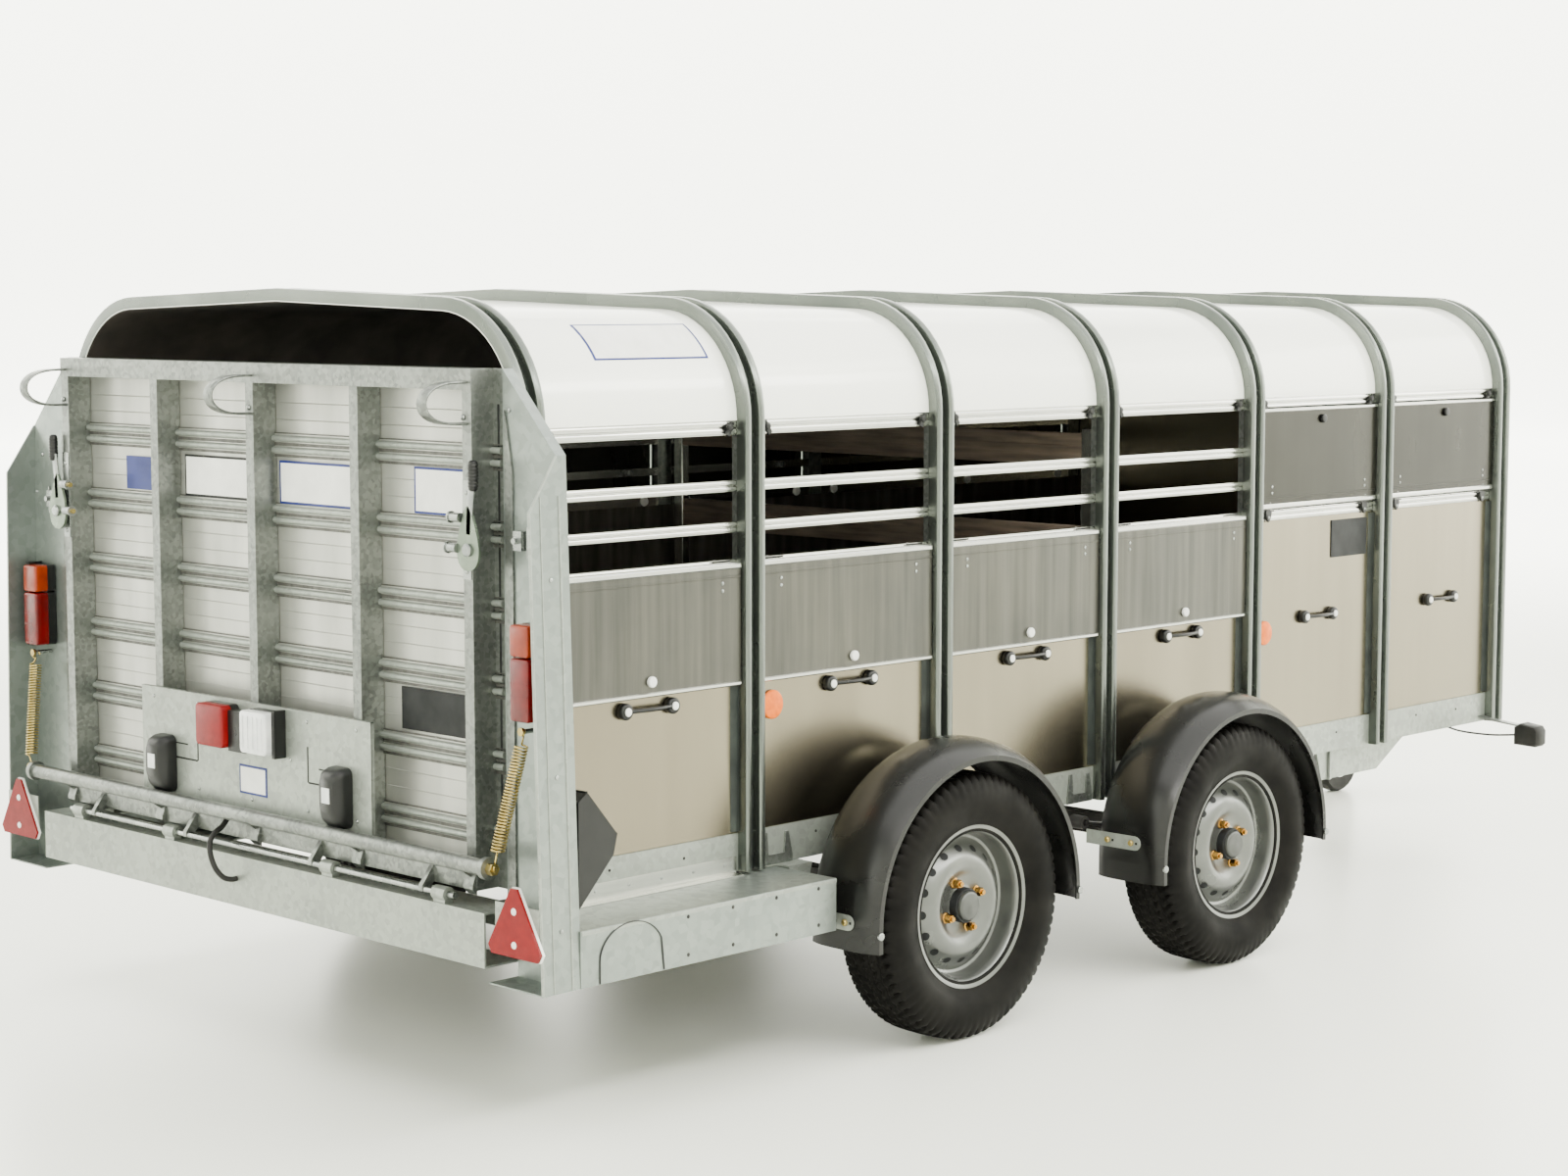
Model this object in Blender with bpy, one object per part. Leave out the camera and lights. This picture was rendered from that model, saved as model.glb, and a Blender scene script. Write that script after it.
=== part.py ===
"""Twin-axle livestock trailer: a galvanised chassis and drawbar, seven roof hoops, aluminium sides with
drop-down vent flaps, a sprung loading ramp, leaf-sprung axles and a jockey wheel.

Metres, +X forward, +Y to the left, +Z up. The origin is on the ground, at the middle of the length and width.
"""

import math

import bmesh
import bpy
from mathutils import Matrix, Vector

# Overall
LENGTH = 5.05
REAR_X = -LENGTH / 2
FRONT_X = LENGTH / 2
GAP = 0.0005

# Hoops and body shell
HOOPS = 7
PITCH = 0.61
FIRST_HOOP_X = -2.316
HOOP_WIDTH = 0.06
HOOP_DEPTH = 0.026
HOOP_WALL = 0.003
HOOP_GROOVE = (0.022, 0.020)
HALF_WIDTH = 0.81
HOOP_FOOT_Z = 0.418
CORNER_RADIUS = 0.258
CORNER_Z = 1.3815
ROOF_SLOPE = math.radians(1.9)
BODY_REAR_X = FIRST_HOOP_X - HOOP_WIDTH / 2
BODY_FRONT_X = FIRST_HOOP_X + (HOOPS - 1) * PITCH + HOOP_WIDTH / 2
SKIN_Y = HALF_WIDTH - HOOP_DEPTH - GAP
SHEET = 0.003

# Side rails, vents and flaps
FLOOR_Z = 0.5
WAIST_Z = (1.060, 1.087)
EAVES_Z = (1.350, 1.380)
VENT_Z = ((1.1445, 1.166), (1.231, 1.254))
RAIL_DEPTH = 0.0185
FLAP_HINGE_Z = 1.0865
FLAP_HINGE_Y = 0.7955
FLAP_OFFSET = 0.0015
FLAP_SHEET = 0.003
FLAP_HEIGHT = 0.266
FLAP_ROOT = 0.004
FLAPS_DOWN_RIGHT = (1, 2, 3, 4)

# Ramp and rear corners
RAMP_X = (-2.418, -2.348)
RAMP_BARS_X = (-2.418, -2.3595)
RAMP_HALF_WIDTH = 0.777
RAMP_Z = (0.47, 1.50)
RAMP_BAR_WIDTH = 0.028
RAMP_BAR_YS = (-0.725, -0.3625, 0.0, 0.3625, 0.725)
RAMP_RAIL_HEIGHTS = (0.045, 0.042)
RAMP_WALL = 0.003
RAMP_HINGE = (-2.44, 0.458)
HINGE_PIN_R = 0.0072
SILL_X = (-2.452, -2.35)
SILL_Z = (0.33, 0.44)
TUBE_X = -2.46
TUBE_Z = 0.534
TUBE_R = 0.0165
LOOP_BAR_YS = (-0.715, 0.0, 0.73)
BOARD_X = -2.428
CORNER_Y = (0.781, 0.97)
CORNER_X = (-2.447, -2.3735, -2.347)
CORNER_TOP_Z = 1.337
CORNER_CUT_Z = 1.23
CORNER_LEAN = 0.034
BOX_Z = (0.30, 0.413)
BOX_FRONT_X = -1.626
SPRING_TOP = (-2.415, 0.885, 0.80)
SPRING_FOOT = (-2.46, 0.845, 0.54)
SPRING_R = 0.015
LATCH_PIVOT = (-2.428, 0.745, 1.148)

# Running gear
AXLE_XS = {"rear": -1.236, "front": -0.236}
WHEEL_R = 0.298
WHEEL_STEPS = 24
DRUM_Y = (0.862, 0.925)
DRUM_R = 0.115
STUB_R = 0.0197
BORE_R = 0.0205
LEAF_HALF_LENGTH = 0.35
LEAF_Y = (0.779, 0.822)
LEAF_EYE_Z = 0.374
LEAF_MID_Z = 0.335
MUDGUARD_R = 0.364
MUDGUARD_Y = (0.852, 1.05)

# Drawbar, coupling and jockey wheel
BEAM_REAR = (0.55, 0.735)
BEAM_FRONT = (2.27, 0.045)
BEAM_Z = 0.375
COUPLING_Z = 0.452
BALL_R = 0.0257
BALL_X = FRONT_X - 0.042
HANDLE_PIVOT = (2.40, 0.0, 0.516)
BRAKE_PIVOT = (2.12, -0.075, 0.475)
JOCKEY = (2.10, 0.205)
JOCKEY_WHEEL_R = 0.10
JOCKEY_TRAIL = 0.045
JOCKEY_TUBE_R = 0.024

# Partition gate
GATE_X = -0.455
GATE_HALF_WIDTH = 0.735
GATE_Z = (0.54, 1.30)

# Lighting lead between the rear sill and the lamp board, through points chosen by hand
LEAD_R = 0.006
LEAD_ROUTE = (
    (-2.4526, 0.030, 0.390),
    (-2.466, 0.030, 0.390),
    (-2.484, 0.034, 0.397),
    (-2.497, 0.044, 0.418),
    (-2.499, 0.058, 0.447),
    (-2.490, 0.071, 0.471),
    (-2.470, 0.080, 0.487),
    (-2.448, 0.085, 0.497),
    (-2.430, 0.088, 0.516),
    (-2.4155, 0.090, 0.540),
    (-2.409, 0.090, 0.575),
    (-2.409, 0.090, 0.610),
)


def clear_scene():
    for obj in list(bpy.data.objects):
        bpy.data.objects.remove(obj)


def material(name, color, roughness, metallic):
    """One Principled material."""
    mat = bpy.data.materials.new(name)
    mat.use_nodes = True
    shader = mat.node_tree.nodes["Principled BSDF"]
    shader.inputs["Base Color"].default_value = (*color, 1.0)
    shader.inputs["Roughness"].default_value = roughness
    shader.inputs["Metallic"].default_value = metallic
    return mat


def from_bmesh(bm):
    """A loose working piece, in world coordinates, from a bmesh."""
    bmesh.ops.remove_doubles(bm, verts=bm.verts, dist=1e-6)
    bmesh.ops.recalc_face_normals(bm, faces=bm.faces)
    mesh = bpy.data.meshes.new("piece")
    bm.to_mesh(mesh)
    bm.free()
    obj = bpy.data.objects.new("piece", mesh)
    bpy.context.scene.collection.objects.link(obj)
    return obj


def sweep(sections, closed=False):
    """Bridges a list of equal outlines, each a list of 3-D points, into a closed skin."""
    bm = bmesh.new()
    rings = [[bm.verts.new(p) for p in section] for section in sections]
    pairs = list(zip(rings, rings[1:]))
    if closed:
        pairs.append((rings[-1], rings[0]))
    for low, high in pairs:
        for i in range(len(low)):
            j = (i + 1) % len(low)
            bm.faces.new((low[i], low[j], high[j], high[i]))
    if not closed:
        bm.faces.new(rings[0][::-1])
        bm.faces.new(rings[-1])
    return from_bmesh(bm)


def block(low, high):
    """A cuboid between two corners."""
    (x0, y0, z0), (x1, y1, z1) = low, high
    outline = [(x0, y0), (x1, y0), (x1, y1), (x0, y1)]
    return sweep([[(x, y, z) for x, y in outline] for z in (z0, z1)])


def prism(outline, axis, start, end):
    """An outline extruded along X, Y or Z. Its points are the other two coordinates, in X, Y, Z order."""
    places = {"x": lambda t, a, b: (t, a, b), "y": lambda t, a, b: (a, t, b), "z": lambda t, a, b: (a, b, t)}
    place = places[axis]
    return sweep([[place(t, a, b) for a, b in outline] for t in (start, end)])


def beam(start, end, outline):
    """A section of (side, up) points carried along the line from start to end."""
    a, b = Vector(start), Vector(end)
    along = (b - a).normalized()
    side = Vector((0, 0, 1)).cross(along).normalized()
    up = along.cross(side)
    return sweep([[end_point + side * s + up * u for s, u in outline] for end_point in (a, b)])


def circle(radius, steps, phase=0.0):
    return [
        (radius * math.cos(phase + 2 * math.pi * i / steps), radius * math.sin(phase + 2 * math.pi * i / steps))
        for i in range(steps)
    ]


def rod(start, end, radius, steps=12):
    """A round bar between two points."""
    a, b = Vector(start), Vector(end)
    turn = (b - a).to_track_quat("Z", "Y")
    ring = [turn @ Vector((u, v, 0)) for u, v in circle(radius, steps)]
    return sweep([[a + p for p in ring], [b + p for p in ring]])


def turned(profile, centre, axis, steps, first=0.0, last=None):
    """A profile of (radius, distance along the axis) points turned about Y or Z, all round or from first to last."""
    whole = last is None
    span = 2 * math.pi if whole else last - first
    count = steps if whole else steps + 1
    sections = []
    for i in range(count):
        angle = first + span * i / steps
        c, s = math.cos(angle), math.sin(angle)
        if axis == "y":
            section = [(centre[0] + r * c, centre[1] + t, centre[2] + r * s) for r, t in profile]
        else:
            section = [(centre[0] + r * c, centre[1] + r * s, centre[2] + t) for r, t in profile]
        sections.append(section)
    return sweep(sections, closed=whole)


def channel(width, height, wall):
    """A C section lying on its back: web on the side at width, flanges towards zero."""
    return [
        (0, 0),
        (width, 0),
        (width, height),
        (0, height),
        (0, height - wall),
        (width - wall, height - wall),
        (width - wall, wall),
        (0, wall),
    ]


def finish(name, pieces, mat, origin=(0.0, 0.0, 0.0), parent=None, smooth=False):
    """Unites the pieces into one closed body, with its origin at a point that it turns or slides about."""
    base = pieces[0]
    if len(pieces) > 1:
        helpers = bpy.data.collections.new("helpers")
        bpy.context.scene.collection.children.link(helpers)
        for piece in pieces[1:]:
            bpy.context.scene.collection.objects.unlink(piece)
            helpers.objects.link(piece)
        union = base.modifiers.new("union", "BOOLEAN")
        union.operation = "UNION"
        union.operand_type = "COLLECTION"
        union.collection = helpers
        bpy.context.view_layer.update()
        graph = bpy.context.evaluated_depsgraph_get()
        mesh = bpy.data.meshes.new_from_object(base.evaluated_get(graph))
        for piece in pieces[1:]:
            bpy.data.objects.remove(piece)
        bpy.data.collections.remove(helpers)
        bpy.data.objects.remove(base)
        base = bpy.data.objects.new(name, mesh)
        bpy.context.scene.collection.objects.link(base)
    base.name = name
    base.data.name = name
    base.data.materials.clear()
    base.data.materials.append(mat)
    base.data.transform(Matrix.Translation(-Vector(origin)))
    base.location = origin
    if smooth:
        base.data.shade_smooth()
        base.data.set_sharp_from_angle(angle=math.radians(35))
    if parent:
        base.parent = parent
        base.matrix_parent_inverse = parent.matrix_world.inverted()
    return base


def pivot(name, place):
    """An empty on a joint's axis, which the pieces that move together hang from."""
    empty = bpy.data.objects.new(name, None)
    empty.location = place
    empty.empty_display_size = 0.05
    bpy.context.scene.collection.objects.link(empty)
    bpy.context.view_layer.update()
    return empty


def hoop_x(index):
    return FIRST_HOOP_X + index * PITCH


def arch(offset, foot_z, steps=6):
    """The body's cross-section from the right foot over the roof to the left foot, moved inwards by offset."""
    radius = CORNER_RADIUS - offset
    centre_y = HALF_WIDTH - CORNER_RADIUS
    turn = math.pi / 2 - ROOF_SLOPE
    left = []
    for i in range(steps + 1):
        angle = turn * i / steps
        left.append((centre_y + radius * math.cos(angle), CORNER_Z + radius * math.sin(angle)))
    ridge_z = CORNER_Z + radius / math.cos(ROOF_SLOPE) + centre_y * math.tan(ROOF_SLOPE)
    left = [(HALF_WIDTH - offset, foot_z)] + left
    right = [(-y, z) for y, z in left]
    return right + [(0.0, ridge_z)] + left[::-1]


def arch_band(outer, inner, foot_z):
    return arch(outer, foot_z) + arch(inner, foot_z)[::-1]


def hoop_section():
    """The rolled sheet across a hoop, as (x, depth) points: two hollow ridges with a groove between them."""
    edge, (groove, deep), wall = HOOP_WIDTH / 2, HOOP_GROOVE, HOOP_WALL
    half = [(groove / 2, deep), (groove / 2, 0.0), (edge, 0.0), (edge, HOOP_DEPTH)]
    half += [(edge - wall, HOOP_DEPTH), (edge - wall, wall), (groove / 2 + wall, wall), (groove / 2 + wall, deep + wall)]
    return half + [(-x, depth) for x, depth in half[::-1]]


def make_hoops(mat):
    for i in range(HOOPS):
        x = hoop_x(i)
        lines = [[(x + across, *point) for point in arch(depth, HOOP_FOOT_Z)] for across, depth in hoop_section()]
        finish(f"hoop_{i}", [sweep(list(zip(*lines)))], mat, origin=(x, 0, 0))


def make_roof(mat):
    outer = HOOP_DEPTH + GAP
    band = prism(arch_band(outer, outer + SHEET, EAVES_Z[1] + GAP), "x", BODY_REAR_X, BODY_FRONT_X)
    finish("roof_skin", [band], mat)


def make_front_panel(mat):
    outline = arch(0.004, FLOOR_Z - 0.07)
    finish("front_panel", [prism(outline, "x", BODY_FRONT_X + GAP, BODY_FRONT_X + GAP + SHEET)], mat)


def make_side(side, name, panel_mat, rail_mat):
    """The lower panel and the rail set of one side: waist rail, two vent rails and eaves rail on posts."""
    outer, inner = side * SKIN_Y, side * (SKIN_Y - SHEET)
    low, high = min(outer, inner), max(outer, inner)
    panel = block((BODY_REAR_X, low, FLOOR_Z + GAP), (BODY_FRONT_X, high, WAIST_Z[0] - GAP))
    finish(f"side_panel_{name}", [panel], panel_mat)
    deep = side * (SKIN_Y - RAIL_DEPTH)
    low, high = min(outer, deep), max(outer, deep)
    rails = [block((BODY_REAR_X, low, z0), (BODY_FRONT_X, high, z1)) for z0, z1 in (WAIST_Z, *VENT_Z, EAVES_Z)]
    step = side * 0.001
    posts = []
    for i in range(HOOPS):
        x = hoop_x(i)
        reach = HOOP_WIDTH / 2 - 0.004
        z0, z1 = WAIST_Z[0] + 0.001, EAVES_Z[1] - 0.001
        posts.append(block((x - reach, low + abs(step), z0), (x + reach, high - abs(step), z1)))
    finish(f"vent_rails_{name}", rails + posts, rail_mat)


def make_flap(side, name, bay, down, mat):
    """One vent flap, hinged at the waist rail. It folds down outside the lower panel."""
    x0 = hoop_x(bay - 1) + HOOP_WIDTH / 2 + 0.002
    x1 = hoop_x(bay) - HOOP_WIDTH / 2 - 0.002
    near = FLAP_HINGE_Y + (FLAP_OFFSET if down else -FLAP_OFFSET - FLAP_SHEET)
    z0, z1 = FLAP_ROOT, FLAP_HEIGHT
    z0, z1 = (-z1, -z0) if down else (z0, z1)
    ys = sorted((side * near, side * (near + FLAP_SHEET)))
    plate = block((x0, ys[0], FLAP_HINGE_Z + z0), (x1, ys[1], FLAP_HINGE_Z + z1))
    origin = ((x0 + x1) / 2, side * FLAP_HINGE_Y, FLAP_HINGE_Z)
    finish(f"flap_{name}_{bay}", [plate], mat, origin=origin)


def make_floor(mat):
    half = SKIN_Y - SHEET - 0.0007
    deck = block((BODY_REAR_X + 0.004, -half, FLOOR_Z + GAP), (BODY_FRONT_X - 0.002, half, FLOOR_Z + 0.0185))
    finish("floor_deck", [deck], mat)


def hanger_xs():
    """Where the leaf springs' outer eyes and the middle rocker are held."""
    rear, front = AXLE_XS["rear"], AXLE_XS["front"]
    return rear - LEAF_HALF_LENGTH, (rear + front) / 2, front + LEAF_HALF_LENGTH


def make_chassis(mat):
    """Side rails, cross members, rear sill, spring hangers and the V drawbar, welded together."""
    pieces = []
    rail_z0, rail_z1 = HOOP_FOOT_Z, FLOOR_Z
    wall = 0.004
    for side in (-1, 1):
        section = channel(0.045, rail_z1 - rail_z0, wall)
        outline = [(side * (SKIN_Y - 0.045 + w), rail_z0 + h) for w, h in section]
        pieces.append(prism(outline, "x", BODY_REAR_X, BODY_FRONT_X))
        ys = sorted((side * (SKIN_Y - 0.06), side * (SKIN_Y - 0.003)))
        pieces.append(block((SILL_X[1] - 0.04, ys[0], SILL_Z[0] + 0.07), (BODY_REAR_X + 0.03, ys[1], SILL_Z[1] - 0.001)))
    member = channel(0.05, 0.055, wall)
    reach = SKIN_Y - 0.002
    for i in range(1, HOOPS):
        x = hoop_x(i) - 0.025
        outline = [(x + w, rail_z1 - 0.058 + h) for w, h in member]
        pieces.append(prism(outline, "y", -reach, reach))
    sill = [(SILL_X[1] - w, SILL_Z[0] + h) for w, h in channel(SILL_X[1] - SILL_X[0], SILL_Z[1] - SILL_Z[0], wall)]
    pieces.append(prism(sill, "y", -CORNER_Y[0] - 0.022, CORNER_Y[0] + 0.022))
    pieces += ramp_knuckles()
    for side in (-1, 1):
        pieces += spring_hangers(side)
        pieces += drawbar_side(side)
    nose = block((2.17, -0.075, BEAM_Z - 0.046), (2.30, 0.075, BEAM_Z + 0.043))
    pieces.append(nose)
    pieces += jockey_clamp()
    finish("chassis_frame", pieces, mat)


def ramp_knuckles():
    """Rings on the sill that hold the ramp's hinge pin, each on a short neck."""
    pieces = []
    x, z = RAMP_HINGE
    for y in (-0.66, -0.29, 0.29, 0.66):
        ring = [(HINGE_PIN_R + 0.0006, -0.02), (0.015, -0.02), (0.015, 0.02), (HINGE_PIN_R + 0.0006, 0.02)]
        pieces.append(turned(ring, (x, y, z), "y", 16))
        pieces.append(block((x - 0.009, y - 0.018, SILL_Z[1] - 0.003), (x + 0.011, y + 0.018, z - 0.0095)))
    return pieces


def spring_hangers(side):
    """Pairs of plates under the side rail, on each side of a spring eye."""
    pieces = []
    y0, y1 = LEAF_Y
    for x in hanger_xs():
        for plate_y in (y0 - 0.005, y1 + 0.001):
            ys = sorted((side * plate_y, side * (plate_y + 0.004)))
            outline = [(x - 0.036, 0.4175), (x - 0.018, 0.352), (x + 0.018, 0.352), (x + 0.036, 0.4175)]
            pieces.append(prism(outline, "y", *ys))
        ys = sorted((side * (y0 - 0.02), side * (y1 + 0.005)))
        pieces.append(block((x - 0.036, ys[0], 0.413), (x + 0.036, ys[1], 0.4177)))
    ys = sorted((side * (SKIN_Y - 0.04), side * (y0 - 0.001)))
    for x in hanger_xs():
        pieces.append(block((x - 0.03, ys[0], 0.405), (x + 0.03, ys[1], 0.4205)))
    return pieces


def drawbar_side(side):
    """One arm of the V drawbar with the plate that hangs it from the side rail."""
    section = [(w - 0.025, h - 0.0425) for w, h in channel(0.05, 0.085, 0.005)]
    section = [(side * w, h) for w, h in section]
    rear = (BEAM_REAR[0], side * BEAM_REAR[1], BEAM_Z)
    front = (BEAM_FRONT[0], side * BEAM_FRONT[1], BEAM_Z - 0.002)
    ys = sorted((side * 0.745, side * 0.751))
    gusset = [(0.50, 0.425), (0.96, 0.425), (0.80, 0.334), (0.53, 0.334)]
    arm_top = block((BODY_FRONT_X - 0.05, side * 0.37 - 0.05, 0.40), (BODY_FRONT_X - 0.004, side * 0.37 + 0.05, 0.444))
    return [beam(rear, front, section), prism(gusset, "y", *ys), arm_top]


def jockey_clamp():
    x, y = JOCKEY
    ring = [(JOCKEY_TUBE_R + 0.0006, -0.03), (0.033, -0.03), (0.033, 0.03), (JOCKEY_TUBE_R + 0.0006, 0.03)]
    return [
        turned(ring, (x, y, BEAM_Z), "z", 16),
        block((x - 0.025, 0.075, BEAM_Z - 0.022), (x + 0.025, y - 0.027, BEAM_Z + 0.022)),
    ]


def make_rear_corner(side, name, mat):
    """A rear corner: portal plate, leaning side plate with a cut top, floor strip and the box step ahead of it."""
    inner_y, outer_y = CORNER_Y
    rear_x, plate_x, front_x = CORNER_X
    low_z = BOX_Z[0]
    top_y = outer_y - CORNER_LEAN
    plate = [(inner_y, low_z + 0.145), (inner_y, RAMP_Z[1]), (top_y - 0.001, CORNER_TOP_Z)]
    plate += [(outer_y - 0.001, low_z + 0.001), (inner_y + 0.03, low_z + 0.001), (inner_y + 0.03, low_z + 0.145)]
    portal = prism([(side * y, z) for y, z in plate], "x", plate_x, front_x)
    outline = [(rear_x, low_z), (plate_x + 0.012, low_z), (plate_x + 0.012, CORNER_TOP_Z - 0.0005)]
    outline += [(plate_x, CORNER_TOP_Z), (rear_x, CORNER_CUT_Z)]
    lean = CORNER_LEAN / (CORNER_TOP_Z - low_z)
    skins = []
    for inset in (0.0, 0.003):
        skins.append([(x, side * (outer_y - inset - lean * (z - low_z)), z) for x, z in outline])
    plates = [portal, sweep(skins)]
    ys = sorted((side * (inner_y + 0.03), side * (outer_y - 0.0015)))
    plates.append(block((rear_x, ys[0], low_z + 0.0005), (plate_x + 0.005, ys[1], low_z + 0.0035)))
    section = channel(outer_y - 0.785, BOX_Z[1] - low_z, 0.004)
    step = [(side * (0.785 + w), low_z + h) for w, h in section]
    plates.append(prism(step, "x", front_x - 0.002, BOX_FRONT_X))
    ys = sorted((side * 0.786, side * (outer_y - 0.001)))
    plates.append(block((BOX_FRONT_X - 0.005, ys[0], low_z + 0.001), (BOX_FRONT_X - 0.001, ys[1], BOX_Z[1] - 0.001)))
    finish(f"rear_corner_{name}", plates, mat)


def d_loop(y, steps=8):
    """A flat bar bent into a D that stands out from the ramp's top: half an ellipse between two feet."""
    depth, height, wall, width = REAR_X - RAMP_BARS_X[0], 0.043, 0.005, 0.027
    middle_z = 1.433
    foot = 0.002
    sections = []
    for i in range(steps + 1):
        angle = math.pi * (i / steps - 0.5)
        outline = []
        for inset in (0.0, wall):
            x = RAMP_BARS_X[0] + foot + (depth - foot + inset) * math.cos(angle)
            z = middle_z + (height - inset) * math.sin(angle)
            outline.append((x, z))
        (x0, z0), (x1, z1) = outline
        y0, y1 = y - width / 2, y + width / 2
        sections.append([(x0, y0, z0), (x0, y1, z0), (x1, y1, z1), (x1, y0, z1)])
    return sweep(sections)


def ramp_channel(width, height):
    """A C section with its web to the rear, as (x, across) points."""
    x0, x1 = RAMP_BARS_X
    return [(x1 - w, h - height / 2) for w, h in channel(x1 - x0 - width, height, RAMP_WALL)]


def make_ramp(frame_mat, deck_mat, board_mat, parent):
    """The loading ramp: five bars, top and bottom rails, edge flanges, hinge lugs, spring tube and three loops."""
    x0, x1 = RAMP_BARS_X
    half = RAMP_HALF_WIDTH
    z0, z1 = RAMP_Z
    outer_bar = RAMP_BAR_YS[-1] + RAMP_BAR_WIDTH / 2
    pieces = []
    for y in RAMP_BAR_YS:
        outline = [(x, y + across) for x, across in ramp_channel(0.0, RAMP_BAR_WIDTH)]
        pieces.append(prism(outline, "z", z0 + 0.001, z1 - 0.001))
    low, high = RAMP_RAIL_HEIGHTS
    for middle, height in ((z0 + low / 2, low), (z1 - high / 2, high)):
        outline = [(x, middle + across) for x, across in ramp_channel(0.0007, height)]
        pieces.append(prism(outline, "y", -outer_bar - 0.001, outer_bar + 0.001))
    for side in (-1, 1):
        ys = sorted((side * (outer_bar - 0.0025), side * half))
        pieces.append(block((x1 - RAMP_WALL, ys[0], z0), (x1, ys[1], z1)))
        ys = sorted((side * (half - 0.004), side * (half - 0.0005)))
        pieces.append(block((x1 - 0.001, ys[0], z0 + 0.0005), (RAMP_X[1], ys[1], z1 - 0.0005)))
    hinge_x, hinge_z = RAMP_HINGE
    pieces.append(rod((hinge_x, -0.70, hinge_z), (hinge_x, 0.70, hinge_z), HINGE_PIN_R))
    for y in (-0.60, -0.23, 0.23, 0.60):
        lug = [
            (x0 + 0.01, 0.474),
            (hinge_x + 0.006, hinge_z - 0.009),
            (hinge_x - 0.009, hinge_z - 0.004),
            (hinge_x - 0.009, hinge_z + 0.008),
            (x0 + 0.01, 0.512),
        ]
        pieces.append(prism(lug, "y", y - 0.006, y + 0.006))
    pieces.append(rod((TUBE_X, -0.83, TUBE_Z), (TUBE_X, 0.83, TUBE_Z), TUBE_R))
    for y in RAMP_BAR_YS:
        arm = [(x0 + 0.01, 0.49), (TUBE_X, TUBE_Z - 0.012), (TUBE_X, TUBE_Z + 0.002), (x0 + 0.01, 0.535)]
        pieces.append(prism(arm, "y", y - 0.004, y + 0.004))
    pieces += [d_loop(y) for y in LOOP_BAR_YS]
    finish("ramp_frame", pieces, frame_mat, origin=parent.location, parent=parent)
    deck = block((x1 + GAP, -half + 0.0045, z0 + 0.003), (RAMP_X[1] - GAP, half - 0.0045, z1 - 0.02))
    finish("ramp_deck", [deck], deck_mat, origin=parent.location, parent=parent)
    plate = block((BOARD_X, -0.418, 0.541), (BOARD_X + 0.003, 0.418, 0.774))
    flange = block((BOARD_X + 0.001, -0.417, 0.770), (x0 - 2 * GAP, 0.417, 0.773))
    hems = [block((BOARD_X + 0.001, y, 0.543), (x0 - 2 * GAP, y + 0.003, 0.772)) for y in (-0.417, 0.414)]
    finish("plate_board", [plate, flange, *hems], board_mat, origin=parent.location, parent=parent)


def make_latch(side, name, mat, parent):
    """A cam lever with a grip, on a pivot beside the ramp's outer bar."""
    x, y, z = LATCH_PIVOT
    place = Vector((x, side * y, z))
    lever = [(-0.022, -0.03), (0.018, -0.03), (0.022, 0.0), (0.012, 0.05), (-0.006, 0.15), (-0.018, 0.15), (-0.026, 0.0)]
    plate = prism([(place.y - side * u, place.z + v) for u, v in lever], "x", x - 0.006, x)
    pin = rod((x - 0.012, place.y, place.z), (RAMP_BARS_X[0] - GAP, place.y, place.z), 0.008)
    grip = rod((x - 0.003, place.y + side * 0.011, z + 0.115), (x - 0.003, place.y + side * 0.016, z + 0.175), 0.011)
    finish(f"ramp_latch_{name}", [plate, pin, grip], mat, origin=place, parent=parent, smooth=True)


def make_ramp_spring(side, name, mat):
    """The plain outer shape of a counterbalance coil spring with its two end hooks."""
    top = Vector((SPRING_TOP[0], side * SPRING_TOP[1], SPRING_TOP[2]))
    foot = Vector((SPRING_FOOT[0], side * SPRING_FOOT[1], SPRING_FOOT[2]))
    along = (top - foot).normalized()
    coil = rod(foot + along * 0.03, top - along * 0.025, SPRING_R)
    hooks = [rod(foot + along * 0.001, foot + along * 0.035, 0.004, 6), rod(top - along * 0.03, top, 0.004, 6)]
    finish(f"ramp_spring_{name}", [coil, *hooks], mat, origin=foot, smooth=True)


def leaf_strip(centre_x, side):
    """One leaf pack: a strip on a shallow parabola between its eyes, thick in the middle."""
    ys = sorted((side * LEAF_Y[0], side * LEAF_Y[1]))
    steps = 8
    upper, lower = [], []
    for i in range(steps + 1):
        t = 2 * i / steps - 1
        z = LEAF_MID_Z + (LEAF_EYE_Z - LEAF_MID_Z) * t * t
        half = 0.0105 - 0.0065 * abs(t)
        x = centre_x + t * LEAF_HALF_LENGTH
        upper.append((x, z + half))
        lower.append((x, z - half))
    pieces = [prism(upper + lower[::-1], "y", *ys)]
    for x in (centre_x - LEAF_HALF_LENGTH, centre_x + LEAF_HALF_LENGTH):
        pieces.append(rod((x, ys[0] + 0.0005, LEAF_EYE_Z), (x, ys[1] - 0.0005, LEAF_EYE_Z), 0.013))
    return pieces


def make_suspension(side, name, mat):
    """Two leaf packs that share a rocking beam between the axles."""
    rear, front = AXLE_XS["rear"], AXLE_XS["front"]
    x0, x1 = rear + LEAF_HALF_LENGTH, front - LEAF_HALF_LENGTH
    ys = sorted((side * (LEAF_Y[0] + 0.006), side * (LEAF_Y[1] - 0.006)))
    middle = (x0 + x1) / 2
    rocker = [(x0, LEAF_EYE_Z - 0.01), (x1, LEAF_EYE_Z - 0.01), (x1, LEAF_EYE_Z + 0.01)]
    rocker += [(middle, LEAF_EYE_Z + 0.026), (x0, LEAF_EYE_Z + 0.01)]
    pieces = leaf_strip(rear, side) + leaf_strip(front, side) + [prism(rocker, "y", *ys)]
    finish(f"suspension_{name}", pieces, mat)


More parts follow.
